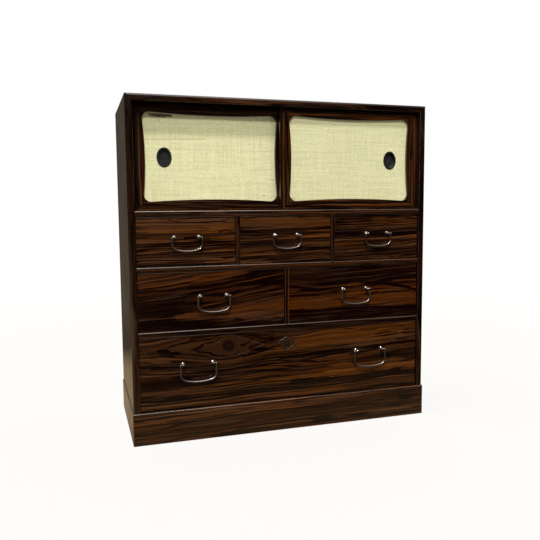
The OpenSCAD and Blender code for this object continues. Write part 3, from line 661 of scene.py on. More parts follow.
@dataclass(frozen=True)
class Finish:
    """A surface finish. Each one makes its material once."""

    name: str
    seed: float = 0.0

    def material(self) -> bpy.types.Material:
        """The finish's material.

        Returns:
            The material, made the first time that it is asked for.
        """
        made = bpy.data.materials.get(self.name)
        if not made:
            made = bpy.data.materials.new(self.name)
            self.wire(MaterialTree.cleared(made))
        return made

    def wire(self, tree: MaterialTree) -> None:
        """Wires the material."""
        raise NotImplementedError


@dataclass(frozen=True)
class FigureMark:
    """A line or patch placed on a board: darker where its strength is under zero."""

    half_width: float
    strength: float
    points: tuple[tuple[float, float], ...]

    @classmethod
    def rows(cls, *rows: tuple[float, ...]) -> "tuple[FigureMark, ...]":
        """Marks from rows of half width, strength, and the x and z of each point."""
        return tuple(cls(wide, tone, tuple(zip(at[::2], at[1::2]))) for wide, tone, *at in rows)

    def put(self, tree: Tree, flow: Socket, ragged: Feed, points: list[Vector]) -> Socket:
        """Puts the mark on a board.

        Args:
            tree: The material's tree.
            flow: The coordinates that it is drawn in.
            ragged: The noise that frays its edges.
            points: Its points in those coordinates, in millimetres.

        Returns:
            What it adds to the tone.
        """
        first, last = points[0], points[-1]
        reach = last.x - first.x
        feeds: dict[str, Feed] = {
            "Vector": flow,
            "Ragged": ragged,
            "Along": (first.x + last.x) / 2 * MM,
            "Across": (first.y + last.y) / 2 * MM,
            "Half length": reach / 2 * MM,
            "Half width": self.half_width * MM,
            "Slope": (last.y - first.y) / reach,
            "Strength": self.strength,
        }
        if len(points) > 2:
            feeds.update({"Across": self.curve(tree, flow, points), "Slope": 0.0, "Bluntness": 0.2})
        return Streak.put(tree, feeds)["Tone"]

    @staticmethod
    def curve(tree: Tree, flow: Socket, points: list[Vector]) -> Socket:
        """A smooth line through the points.

        Args:
            tree: The material's tree.
            flow: The coordinates that it is drawn in.
            points: Its points from left to right, in millimetres.

        Returns:
            How far across the board the line lies.
        """
        first, reach = points[0].x, points[-1].x - points[0].x
        low = min(point.y for point in points)
        rise = max(point.y for point in points) - low
        share = tree.linear(tree.split(flow)[0], 1 / (reach * MM), -first / reach)
        bent = tree.node("ShaderNodeFloatCurve", {1: share})
        line = bent.mapping.curves[0]
        while len(line.points) < len(points):
            line.points.new(0.5, 0.5)
        for knot, point in zip(line.points, points):
            knot.location = ((point.x - first) / reach, (point.y - low) / rise)
        bent.mapping.update()
        return tree.linear(bent.outputs[0], rise * MM, low * MM)


Marks = tuple[FigureMark, ...]


@dataclass(frozen=True)
class Eye:
    """A knot in a pointed lens, seen on a plain-sawn board."""

    along: float
    across: float
    reach_left: float
    reach_right: float
    half_height: float
    knot_radius: float
    ring_gap: float = 5.5
    lines: Marks = ()
    droop: float = 4.0
    pointedness: float = 1.35
    fading: float = 34.0
    squeeze: float = 0.92
    calm: float = -0.68
    ring_tone: float = -0.16
    rim_tone: float = -0.38
    line_strength: float = 1.25


@dataclass(frozen=True)
class Figure:
    """How the grain of one board lies: its middle, its lean and the marks on it."""

    along: float = 0.0
    across: float = 0.0
    through: float = 0.0
    tilt: float = 0.0
    fan: float = 0.0
    wander: float = 5.0
    fineness: float = 1.0
    lines: float = 1.0
    marks: Marks = ()
    eye: Eye | None = None

    def on_board(self, point: tuple[float, float]) -> Vector:
        """A point of the cabinet along and across the board, in millimetres."""
        return Vector((point[0] - self.along, point[1] - self.across))

    def in_flow(self, point: tuple[float, float]) -> Vector:
        """A point of the cabinet along and across the leaning grain, in millimetres."""
        run, level = self.on_board(point)
        return Vector((run, level - run * (self.tilt + self.fan * MM * level)))


@dataclass(frozen=True)
class StripedEbony(Finish):
    """Striped ebony under lacquer, as one board shows it."""

    run: GrainRun = GrainRun.FRONT
    tone: float = 0.0
    contrast: float = 1.0
    tint: Colour = WHITE
    figure: Figure = Figure()
    wear_box: tuple[Vector, Vector] | None = None
    # How strongly a highlight is painted on the front top arris.
    glint: float = 0.0
    DUST: ClassVar[Colour] = rgb(0.10, 0.09, 0.08)
    RUBBED_AND_HIGHLIGHT: ClassVar[Colour] = rgb(1.7, 1.6, 1.5)
    GLINT: ClassVar[Colour] = rgb(0.46, 0.34, 0.27)
    RELIEF: ClassVar[float] = 0.00004

    def wire(self, tree: MaterialTree) -> None:
        """Wires the board's figure, polish and pores.

        Args:
            tree: The material's tree.
        """
        place, grain = tree.place, self.figure
        middle = Vector((grain.along, grain.across, grain.through)) * MM
        board = tree.vector("SUBTRACT", self.run.turned(tree, place), middle)
        lie: Feeds = {"Tilt": grain.tilt, "Fan": grain.fan, "Wander": grain.wander * MM}
        flowing = GrainFlow.put(tree, {"Vector": board, "Seed": self.seed, **lie})
        flow, ragged = flowing["Vector"], flowing["Ragged"]
        added: Feed = 0.0
        for mark in grain.marks:
            points = [grain.in_flow(point) for point in mark.points]
            added = tree.total(added, mark.put(tree, flow, ragged, points))
        bias = tree.total(added, self.tone)
        dark, light = tree.step(added, -0.06, -0.34), tree.step(added, 0.05, 0.30)
        quiet = tree.weighted((dark, 0.65), (light, 0.55))
        contrast = tree.linear(quiet, -self.contrast, self.contrast)
        depth: Feed = 1.0
        lines: Feed = grain.lines
        if grain.eye:
            flow, bias, inside, depth = self.with_eye(tree, board, flow, bias, grain.eye)
            contrast = tree.times(contrast, tree.linear(inside, grain.eye.calm, 1.0))
            lines = tree.linear(inside, -0.8 * grain.lines, grain.lines)
        fine = tree.vector("MULTIPLY", flow, (1.0, grain.fineness, 1.0))
        shown: Feeds = {"Bias": bias, "Contrast": contrast, "Lines": lines, "Tint": self.tint}
        look = StripedFigure.put(tree, {"Vector": fine, **shown})
        handling = Handling.put(tree, {"Vector": place, "Seed": self.seed})
        colour = tree.blend(tree.times(handling["Dust"], 0.03), look["Color"], self.DUST)
        roughness = tree.weighted((handling["Smears"], 0.08), (look["Pores"], 0.06), 0.15)
        coat = tree.linear(handling["Smears"], -0.15, 0.25)
        if self.wear_box:
            low, high = self.wear_box
            box: Feeds = {"Centre": (low + high) / 2, "Half size": (high - low) / 2}
            worn = EdgeWearAndGlint.put(tree, {"Vector": place, **box})
            rubbed = tree.blend(1.0, colour, self.RUBBED_AND_HIGHLIGHT, "MULTIPLY")
            colour = tree.blend(tree.times(worn["Mask"], 0.4), colour, rubbed)
            # Painted highlight along the front top arris.
            colour = tree.blend(tree.times(worn["Glint"], self.glint), colour, self.GLINT)
            roughness = tree.weighted(roughness, (worn["Mask"], 0.35))
            coat = tree.times(coat, tree.linear(worn["Mask"], -1.0, 1.0, clamp=True))
        feeds = {"Base Color": colour, "Roughness": roughness, "Coat Weight": coat}
        height = tree.times(look["Height"], depth)
        tree.surface({**feeds, "Coat Roughness": 0.06}, height, self.RELIEF)

    def with_eye(
        self, tree: Tree, board: Socket, flow: Socket, bias: Feed, eye: Eye
    ) -> tuple[Socket, Feed, Socket, Socket]:
        """Bends the grain round the eye and draws its rings, outline and knot.

        Args:
            tree: The material's tree.
            board: The board's straight coordinates.
            flow: The grain's coordinates.
            bias: What the marks add to the tone.
            eye: The eye.

        Returns:
            The new grain coordinates, the new addition to the tone, a mask of the eye and a
            mask that is zero on its outline.
        """
        along, across, depth = tree.split(flow)
        shaken = [
            tree.swing(tree.noise(board, scale, 1.0), reach)
            for scale, reach in (((22.0, 40.0, 1.0), 0.004), ((26.0, 36.0, 9.0), 0.003))
        ]
        wavy = tree.vector("ADD", board, tree.join(*shaken, 0.0))
        straight, level, _ = tree.split(wavy)
        run = tree.minus(straight, (eye.along - self.figure.along) * MM)
        left = tree.math("LESS_THAN", run, 0.0)
        reach = tree.linear(left, (eye.reach_left - eye.reach_right) * MM, eye.reach_right * MM)
        ratio = tree.math("ABSOLUTE", tree.math("DIVIDE", run, reach))
        lift = -(eye.across - self.figure.across) * MM
        rise = tree.weighted(level, (ratio, eye.droop * MM), lift)
        bulge = tree.minus(1.0, tree.math("POWER", ratio, eye.pointedness), clamp=True)
        half = tree.times(bulge, eye.half_height * MM)
        outside = tree.minus(tree.math("ABSOLUTE", rise), half)
        fall = tree.times(tree.math("MAXIMUM", outside, 0.0), -eye.fading)
        pushed = tree.times(tree.math("SIGN", rise), half, tree.math("POWER", math.e, fall))
        inside = tree.step(outside, 0.0008, -0.0008)
        radius = tree.vector("LENGTH", tree.join(tree.times(run, eye.squeeze), rise, 0.0))
        core = eye.knot_radius * MM
        ring_level = tree.mixed(
            tree.step(radius, core * 2.4, core * 1.1),
            tree.times(outside, -1.0),
            tree.linear(radius, -1.0, eye.half_height * MM),
        )
        across_new = tree.mixed(inside, tree.minus(across, pushed), tree.total(ring_level, 1.3))
        count = tree.math("DIVIDE", ring_level, eye.ring_gap * MM)
        ring = tree.step(tree.math("PINGPONG", count, 0.5), 0.20, 0.06)
        from_rim = tree.math("ABSOLUTE", tree.minus(radius, core * 0.70))
        rim = tree.step(from_rim, core * 0.78, core * 0.15)
        bias = tree.weighted(bias, (tree.times(ring, inside), eye.ring_tone), (rim, eye.rim_tone))
        ragged = tree.noise(board, (40.0, 150.0, 1.0), 3.0)
        for line in eye.lines:
            points = [self.figure.on_board(point) for point in line.points]
            bias = tree.linear(line.put(tree, wavy, ragged, points), eye.line_strength, bias)
        smooth = tree.step(tree.math("ABSOLUTE", outside), 0.0012, 0.004)
        return tree.join(along, across_new, depth), bias, inside, smooth


@dataclass(frozen=True)
class PaleWood(Finish):
    """Plain pale wood of the parts inside and behind, unlacquered."""

    run: GrainRun = GrainRun.FRONT
    LIGHT: ClassVar[Colour] = rgb(0.50, 0.37, 0.23)
    DARK: ClassVar[Colour] = rgb(0.34, 0.225, 0.125)
    GRIME_AND_SHADE: ClassVar[Colour] = rgb(0.20, 0.14, 0.09)
    RELIEF: ClassVar[float] = 0.00012

    def wire(self, tree: MaterialTree) -> None:
        """Wires growth lines, flecks and faint grime.

        Args:
            tree: The material's tree.
        """
        board = self.run.turned(tree, tree.place)
        lie: Feeds = {"Seed": self.seed, "Tilt": 0.01, "Wander": 0.004}
        flow = GrainFlow.put(tree, {"Vector": board, **lie})["Vector"]
        rings = tree.noise(flow, (0.5, 210.0, 1.0), 2.0, 0.65)
        planks = tree.noise(flow, (0.3, 14.0, 1.0), 1.0)
        flecks = tree.noise(flow, (40.0, 1500.0, 1.0), 1.0)
        smears = Handling.put(tree, {"Vector": tree.place, "Seed": self.seed})["Smears"]
        shown = tree.times(tree.step(rings, 0.42, 0.72), tree.linear(planks, 0.9, 0.25))
        lines = tree.blend(shown, self.LIGHT, self.DARK)
        flecked = tree.blend(tree.times(tree.step(flecks, 0.6, 0.75), 0.35), lines, self.DARK)
        grimy = tree.blend(tree.times(smears, 0.18), flecked, self.GRIME_AND_SHADE)
        roughness = tree.linear(smears, -0.12, 0.68)
        height = tree.weighted(rings, (flecks, 0.6))
        tree.surface({"Base Color": grimy, "Roughness": roughness}, height, self.RELIEF)


@dataclass(frozen=True)
class HempCloth(Finish):
    """Pale straw-coloured hemp cloth with slubs."""

    shade: float = 1.0
    brown_streaks: Marks = ()
    crease_shades: Marks = ()
    LIGHT: ClassVar[Colour] = rgb(0.880, 0.862, 0.527)
    DARK: ClassVar[Colour] = rgb(0.530, 0.500, 0.260)
    CREASE_SHADE: ClassVar[Colour] = rgb(0.40, 0.36, 0.17)
    BROWN_STREAK: ClassVar[Colour] = rgb(0.060, 0.022, 0.014)
    RELIEF: ClassVar[float] = 0.00012

    def wire(self, tree: MaterialTree) -> None:
        """Wires threads, slubs and bands, painted shade along creases, and a few brown weft
        threads.

        Args:
            tree: The material's tree.
        """
        weave = Weave.put(tree, {"Vector": tree.place, "Seed": self.seed})
        smears = Handling.put(tree, {"Vector": tree.place, "Seed": self.seed})["Smears"]
        # Darker between the threads is painted shade; the slubs, bands and mottle are the cloth's
        # own uneven colour.
        shadow = tree.weighted(
            (tree.step(weave["Threads"], 0.75, 0.25), 0.10),
            (weave["Slubs"], 0.14),
            (tree.step(weave["Bands"], 0.35, 0.65), 0.10),
            (weave["Mottle"], 0.66),
        )
        light, dark = (
            rgb(*(part * self.shade for part in colour[:3])) for colour in (self.LIGHT, self.DARK)
        )
        colour = tree.blend(tree.times(smears, 0.06), tree.blend(shadow, light, dark), dark)
        x, _, z = tree.split(tree.place)
        face = tree.join(x, z, self.seed)
        threads = tree.step(tree.noise(tree.place, (60.0, 1.0, 900.0)), 0.36, 0.60)
        uneven = tree.linear(threads, 0.35, 0.65)
        # The crease lines are painted shade; the brown streaks are drawn the same way.
        drawn = ((self.crease_shades, 1.0, self.CREASE_SHADE), (self.brown_streaks, uneven, self.BROWN_STREAK))
        for marks, share, tint in drawn:
            for mark in marks:
                shown = mark.put(tree, face, 0.5, [Vector(point) for point in mark.points])
                colour = tree.blend(tree.times(shown, share), colour, tint)
        feeds = {
            "Base Color": colour,
            "Roughness": tree.linear(weave["Threads"], -0.1, 0.95),
            "Sheen Weight": 0.06,
            "Specular IOR Level": 0.25,
        }
        tree.surface(feeds, weave["Height"], self.RELIEF)


@dataclass(frozen=True)
class DarkMetal(Finish):
    """Patinated metal, from brown bronze to black iron."""

    bright: Colour = rgb(0.140, 0.098, 0.078)
    dull: Colour = rgb(0.050, 0.034, 0.027)
    metallic: float = 0.85
    roughness: float = 0.12
    coat: float = 0.4
    # How much highlight is painted where the metal faces the lamps and the camera.
    rubbed: float = 0.07
    HIGHLIGHT_SIDE: ClassVar[tuple[float, float, float]] = (-0.16, -0.86, 0.48)
    RUBBED_AND_HIGHLIGHT: ClassVar[Colour] = rgb(0.97, 0.94, 0.91)
    RELIEF: ClassVar[float] = 0.00005

    def wire(self, tree: MaterialTree) -> None:
        """Wires clouds, pits and a painted highlight where the metal faces up and out, towards the
        lamps and the camera.

        Args:
            tree: The material's tree.
        """
        patina = Patina.put(tree, {"Vector": tree.place, "Seed": self.seed})
        clouded = tree.blend(patina["Clouds"], self.bright, self.dull)
        colour = tree.blend(tree.times(patina["Pits"], 0.4), clouded, self.dull)
        normal = tree.node("ShaderNodeNewGeometry").outputs["Normal"]
        # Painted highlight: near white where the normal faces halfway between the lamps and the
        # camera.
        highlight_facing = tree.step(tree.vector("DOT_PRODUCT", normal, self.HIGHLIGHT_SIDE), 0.80, 0.96)
        colour = tree.blend(tree.times(highlight_facing, self.rubbed), colour, self.RUBBED_AND_HIGHLIGHT)
        clouds, pits = (patina["Clouds"], 0.07), (patina["Pits"], 0.06)
        feeds = {
            "Base Color": self.with_painted_shade(tree, colour),
            "Roughness": tree.weighted(clouds, pits, self.roughness),
            "Metallic": self.metallic,
            "Coat Weight": self.coat,
            "Coat Roughness": 0.14,
        }
        tree.surface(feeds, patina["Height"], self.RELIEF)

    def with_painted_shade(self, tree: MaterialTree, colour: Socket) -> Socket:
        """The colour with painted shade over it, which plain metal has none of."""
        return colour


@dataclass(frozen=True)
class KeyPlateMetal(DarkMetal):
    """Brown metal, painted black round the keyhole as the shade in the hole."""

    keyhole_z: float = 213.2
    reach: float = 3.0
    shade_radius: float = 4.5
    GRIME_AND_SHADE: ClassVar[Colour] = rgb(0.0012, 0.0010, 0.0008)

    def with_painted_shade(self, tree: MaterialTree, colour: Socket) -> Socket:
        """The colour painted black round the keyhole, as the shade in the hole.

        Args:
            tree: The material's tree.
            colour: The metal's colour.

        Returns:
            The new colour.
        """
        x, _, z = tree.split(tree.place)
        level = tree.math("ABSOLUTE", tree.minus(z, self.keyhole_z * MM))
        past = tree.math("MAXIMUM", tree.minus(level, self.reach * MM), 0.0)
        from_hole = tree.vector("LENGTH", tree.join(x, past, 0.0))
        # Painted shade: black round the keyhole.
        black = tree.step(from_hole, self.shade_radius * MM, (self.shade_radius - 1.0) * MM)
        return tree.blend(black, colour, self.GRIME_AND_SHADE)


BRONZE = DarkMetal("aged_bronze", 3.0)
KEY_BRONZE = KeyPlateMetal(
    "key_bronze", 5.0, rgb(0.0310, 0.0135, 0.0050), rgb(0.0190, 0.0080, 0.0030), 0.0, 0.16, 0.0, 0.0
)
BLACK_METAL = DarkMetal(
    "aged_black_metal", 8.0, rgb(0.050, 0.053, 0.052), rgb(0.013, 0.013, 0.013), 0.6, 0.30, 0.3, 0.0
)
# A near-black finish for the ward behind the keyhole: painted shade in the hole.
KEYHOLE_SHADE_BLACK = DarkMetal(
    "keyhole_shade_black", 9.0, rgb(0.002, 0.002, 0.002), rgb(0.001, 0.001, 0.001), 0.0, 0.9, 0.0, 0.0
)
IRON = DarkMetal(
    "lock_iron", 12.0, rgb(0.30, 0.29, 0.28), rgb(0.14, 0.12, 0.11), 0.9, 0.42, 0.0, 0.0
)
BACK_WOOD = PaleWood("back_wood", 2.2, GrainRun.UPRIGHT)
RUN_WOOD = PaleWood("run_wood", 5.1, GrainRun.FLAT)
DRAWER_WOOD = PaleWood("drawer_wood", 7.3, GrainRun.SIDE_LEVEL)


def dress(node: str, finish: Finish) -> None:
    """Gives a cabinet node its finish.

    Args:
        node: The node's name.
        finish: What it is finished in.
    """
    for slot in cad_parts[node].material_slots:
        slot.material = finish.material()
    LOG.info("%s: %s", node, finish.name)


def box_of(node: str) -> tuple[Vector, Vector]:
    """A node's lowest and highest corners at rest."""
    low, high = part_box(node)
    return Vector(low), Vector(high)


def dress_board(node: str, seed: float, worn: bool = True, **look: object) -> None:
    """Finishes a node in striped ebony of its own seed and look, worn on its arrises or not."""
    dress(node, StripedEbony(node, seed, wear_box=box_of(node) if worn else None, **look))


class MeshPiece:
    """A mesh under construction that becomes one piece of the cabinet."""

    def __init__(self, name: str) -> None:
        """Starts an empty mesh."""
        self.name = name
        self.mesh = bmesh.new()

    def ring(self, centre: Vector, first: Vector, second: Vector, sides: int) -> list:
        """Adds a ring of points.

        Args:
            centre: The ring's middle.
            first: Its first half-axis.
            second: Its second half-axis.
            sides: How many points it has.

        Returns:
            The new vertices, in order.
        """
        turns = [2 * math.pi * i / sides for i in range(sides)]
        return [
            self.mesh.verts.new(centre + first * math.cos(turn) + second * math.sin(turn))
            for turn in turns
        ]

    def skin(self, rings: list[list], closed: bool = False) -> None:
        """Joins rings of as many points in order.

        Args:
            rings: The rings.
            closed: Whether the last is joined to the first. If not, both ends are filled.
        """
        for near, far in zip(rings, rings[1:] + rings[:1] if closed else rings[1:]):
            for i in range(len(near)):
                j = (i + 1) % len(near)
                self.mesh.faces.new((near[i], near[j], far[j], far[i]))
        if not closed:
            self.mesh.faces.new(list(reversed(rings[0])))
            self.mesh.faces.new(rings[-1])

    def data(self) -> bpy.types.Mesh:
        """Ends the construction.

        Returns:
            The mesh's data.
        """
        made = bpy.data.meshes.new(self.name)
        self.mesh.to_mesh(made)
        self.mesh.free()
        return made

    def finish(self, finish: Finish, body: str, slot: str) -> bpy.types.Object:
        """Turns the mesh into an object that rides on a body.

        Args:
            finish: What it is finished in.
            body: The body that it moves with.
            slot: The record's material slot. It is not used.

        Returns:
            The new object.
        """
        bmesh.ops.recalc_face_normals(self.mesh, faces=self.mesh.faces[:])
        data = self.data()
        for face in data.polygons:
            face.use_smooth = True
        made = add_object(self.name, data)
        data.materials.append(finish.material())
        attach(made, body)
        LOG.info("%s: %d faces on %s", self.name, len(data.polygons), body)
        return made


@dataclass
class Case:
    """The mitred top and sides with the shelf, rails, dividers and hidden boards."""

    # Each row: node, grain run, seed, tone, contrast, wander, and how strongly a highlight is
    # painted on the front top arris.
    boards: tuple[tuple[str, GrainRun, float, float, float, float, float], ...] = (
        ("top_board", GrainRun.FLAT, 1.3, -0.24, 0.75, 5.0, 0.0),
        ("left_side", GrainRun.SIDE, 2.9, -0.28, 0.75, 5.0, 0.0),
        ("right_side", GrainRun.SIDE, 4.1, -0.22, 0.75, 5.0, 0.0),
        ("shelf_board", GrainRun.FRONT, 5.7, -0.04, 0.9, 2.0, 0.85),
        ("upper_rail", GrainRun.FRONT, 6.2, 0.06, 0.9, 2.0, 0.32),
        ("lower_rail", GrainRun.FRONT, 7.9, 0.02, 0.9, 2.0, 0.26),
        ("small_dividers", GrainRun.UPRIGHT, 8.4, -0.08, 0.9, 2.0, 0.0),
        ("middle_divider", GrainRun.UPRIGHT, 9.6, -0.08, 0.9, 2.0, 0.0),
    )
    hidden: tuple[str, ...] = ("upper_run_board", "lower_run_board", "bottom_board", "drawer_stops")

    def build(self) -> None:
        """Dresses every board of the case, also those that show only from behind."""
        for node, run, seed, tone, contrast, wander, glint in self.boards:
            figure = Figure(wander=wander)
            dress_board(
                node, seed, run=run, tone=tone, contrast=contrast, figure=figure, glint=glint
            )
        dress("back_panel", BACK_WOOD)
        for node in self.hidden:
            dress(node, RUN_WOOD)


@dataclass
class Plinth:
    """The plinth that the case stands on."""

    grain: Figure = Figure(tilt=0.012, wander=2.4, lines=0.9)

    def build(self) -> None:
        """Dresses its boards and blocks."""
        front = {"tone": 0.07, "contrast": 0.80, "glint": 0.20}
        sides = {"tone": 0.02, "contrast": 0.62, "run": GrainRun.SIDE_LEVEL}
        dress_board("plinth_front", 11.2, figure=self.grain, **front)
        dress_board("plinth_sides", 12.6, figure=self.grain, **sides)
        for node in ("plinth_back", "plinth_blocks"):
            dress(node, RUN_WOOD)


@dataclass
class SlidingDoor:
    """A framed door with cloth over a thin board and an oval pull."""

    side: str
    seed: float
    brown_streaks: Marks = ()
    crease_shades: Marks = ()
    shade: float = 1.0
    pull_hole: tuple[float, float] = (30.0, 41.0)
    rays: int = 96
    hoops: int = 14
    crowding: float = 1.6

    def build(self) -> None:
        """Dresses the frame, the board and the pull, and makes the cloth."""
        look = {"contrast": 0.95, "figure": Figure(wander=2.5)}
        for part, run, tone in (("stiles", GrainRun.UPRIGHT, 0.0), ("rails", GrainRun.FRONT, 0.06)):
            node = f"{self.side}_door_{part}"
            dress_board(node, self.seed + len(part), worn=False, run=run, tone=tone, **look)
        dress(f"{self.side}_door_panel", RUN_WOOD)
        dress(f"{self.side}_door_pull", BLACK_METAL)
        self.make_cloth()

    def make_cloth(self) -> None:
        node = f"{self.side}_door_cloth"
        low, high = box_of(node)
        pull_low, pull_high = box_of(f"{self.side}_door_pull")
        centre = (pull_low + pull_high) / 2
        sheet = MeshPiece(f"{self.side}_cloth_sheet")
        inner, outer = (self.hoop(sheet, centre, low, high, y) for y in (low.y, high.y))
        sheet.skin(inner + outer[::-1], closed=True)
        finish = HempCloth(
            f"{self.side}_cloth", self.seed * 2.0, self.shade, self.brown_streaks, self.crease_shades
        )
        made = sheet.finish(finish, f"{self.side}_door", "cloth")
        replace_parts(made, node)

    def hoop(
        self, sheet: MeshPiece, centre: Vector, low: Vector, high: Vector, y: float
    ) -> list[list]:
        """Adds hoops of points from the oval hole out to the cloth's edges.

        Args:
            sheet: Where the points go.
            centre: The middle of the hole.
            low: The cloth's low corner.
            high: The cloth's high corner.
            y: The face that the points lie on.

        Returns:
            The hoops, each a list of vertices.
        """
        corners = [
            math.atan2(z - centre.z, x - centre.x) for x in (low.x, high.x) for z in (low.z, high.z)
        ]
        even = [2 * math.pi * i / self.rays - math.pi for i in range(self.rays)]
        clear = [a for a in even if min(abs(a - c) for c in corners) > math.pi / self.rays]
        wide, tall = (part / 2 * MM for part in self.pull_hole)
        spans = []
        for angle in sorted(clear + corners):
            cos, sin = math.cos(angle), math.sin(angle)
            reach_x = ((high.x if cos > 0 else low.x) - centre.x) / cos if abs(cos) > 1e-9 else 1e9
            reach_z = ((high.z if sin > 0 else low.z) - centre.z) / sin if abs(sin) > 1e-9 else 1e9
            reach = min(reach_x, reach_z)
            near = Vector((centre.x + wide * cos, y, centre.z + tall * sin))
            spans.append((near, Vector((centre.x + reach * cos, y, centre.z + reach * sin))))
        shares = [(step / self.hoops) ** self.crowding for step in range(self.hoops + 1)]
        return [
            [sheet.mesh.verts.new(near.lerp(far, part)) for near, far in spans] for part in shares
        ]


@dataclass(frozen=True)
class BailSize:
    """How large a bail is and how flat its bow."""

    post_gap: float
    drop: float
    grip: float
    bow_angle: float


SMALL_BAIL = BailSize(57.5, 34.5, 4.8, 16.0)
MIDDLE_BAIL = BailSize(63.5, 40.0, 5.2, 15.0)
LARGE_BAIL = BailSize(71.5, 45.0, 5.8, 14.0)


@dataclass
class DropHandle:
    """A bail that hangs from two posts on a drawer front."""

    name: str
    x: float
    pin_z: float
    size: BailSize
    pin_y: float = -159.65
    elbow_r: float = 15.0
    ball: float = 7.4
    ball_gap: float = 0.4
    pin: float = 2.6
    pin_nib: float = 0.8
    sides: int = 20
    pin_sides: int = 12
    slimming: float = 0.2
    eye_swell: float = 0.22
    eye_reach: float = 3.5
    elbow_swell: float = 0.1
    bow_swell: float = 0.30
    cap_lead: float = 4
    cap_steps: int = 5
    leg_steps: int = 8
    elbow_steps: int = 9
    bow_steps: int = 10

    @property
    def leg_x(self) -> float:
        """Half the distance between the legs' middles."""
        return self.size.post_gap / 2 + self.ball / 2 + self.ball_gap + (self.size.grip - 1) / 2

    def build(self) -> None:
        """Makes the bail and its pins as one smooth piece."""
        piece = MeshPiece(self.name + "_smooth")
        points = self.route()
        rings = []
        for i, (point, radius) in enumerate(points):
            before = points[max(i - 1, 0)][0]
            after = points[min(i + 1, len(points) - 1)][0]
            direction = (after - before).normalized()
            side = Vector((-direction.z, 0.0, direction.x))
            rings.append(piece.ring(point, side * radius, Vector((0.0, radius, 0.0)), self.sides))
        piece.skin(rings)
        for hand in (-1, 1):
            self.add_pin(piece, hand)
        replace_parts(piece.finish(BRONZE, self.name, "bronze"), self.name)

    def route(self) -> list[tuple[Vector, float]]:
        """The bail's middle line from one rounded end to the other.

        Returns:
            Points and radii, in metres.
        """
        bow = math.radians(self.size.bow_angle)
        elbow = self.elbow_r
        bow_r = elbow + (self.leg_x - elbow) / math.sin(bow)
        leg = self.size.drop - self.size.grip / 2 - bow_r + (bow_r - elbow) * math.cos(bow)
        top = (self.size.grip - 1) / 2
        low = self.size.grip / 2 - self.slimming
        half: list[tuple[float, float, float]] = []
        for k in range(self.cap_steps):
            lift = math.radians(90 - 90 * k / self.cap_steps - self.cap_lead)
            half.append((-self.leg_x, top * math.sin(lift), top * math.cos(lift)))
        for k in range(self.leg_steps + 1):
            share = k / self.leg_steps
            eye = self.eye_swell * max(0.0, 1 - abs(share * leg) / self.eye_reach)
            half.append((-self.leg_x, -leg * share, top + (low - top) * share + eye))
        for k in range(1, self.elbow_steps + 1):
            turn = (math.pi / 2 - bow) * k / self.elbow_steps
            x, z = -self.leg_x + elbow - elbow * math.cos(turn), -leg - elbow * math.sin(turn)
            half.append((x, z, low + self.elbow_swell * k / self.elbow_steps))
        centre_z = -leg + (bow_r - elbow) * math.cos(bow)
        for k in range(1, self.bow_steps + 1):
            turn = -bow + bow * k / self.bow_steps
            swell = self.bow_swell * math.cos(turn / bow * math.pi / 2) ** 2
            x, z = bow_r * math.sin(turn), centre_z - bow_r * math.cos(turn)
            half.append((x, z, low + self.elbow_swell + swell))
        whole = half + [(-x, z, r) for x, z, r in reversed(half[:-1])]
        return [
            (Vector(((self.x + x) * MM, self.pin_y * MM, (self.pin_z + z) * MM)), r * MM)
            for x, z, r in whole
        ]

    def add_pin(self, piece: MeshPiece, hand: int) -> None:
        """Adds the pin that goes through one post's ball.

        Args:
            piece: The bail's mesh.
            hand: -1 for the left pin and 1 for the right.
        """
        length = self.leg_x - self.size.post_gap / 2 + self.ball / 2 + self.pin_nib
        rings = []
        for reach, size in ((0.0, 1.0), (length - 0.5, 1.0), (length - 0.15, 0.82), (length, 0.5)):
            x = self.x + hand * (self.leg_x - reach)
            centre = Vector((x * MM, self.pin_y * MM, self.pin_z * MM))
            radius = self.pin / 2 * size * MM
            axes = Vector((0.0, radius, 0.0)), Vector((0.0, 0.0, radius))
            rings.append(piece.ring(centre, *axes, self.pin_sides))
        piece.skin(rings)


@dataclass
class Drawer:
    """A drawer: its front, box, bottom, posts and bails."""

    name: str
    seed: float
    tone: float
    contrast: float
    figure: Figure
    handles: tuple[DropHandle, ...]
    tint: Colour = WHITE
    # How strongly a highlight is painted on the front's top arris.
    glint: float = 0.9

    def build(self) -> None:
        """Dresses the drawer's nodes and makes its bails."""
        look = {"tone": self.tone, "contrast": self.contrast, "tint": self.tint}
        dress_board(
            f"{self.name}_front", self.seed, figure=self.figure, glint=self.glint, **look
        )
        dress(f"{self.name}_box", DRAWER_WOOD)
        dress(f"{self.name}_bottom", RUN_WOOD)
        dress(f"{self.name}_posts", BRONZE)
        for handle in self.handles:
            handle.build()


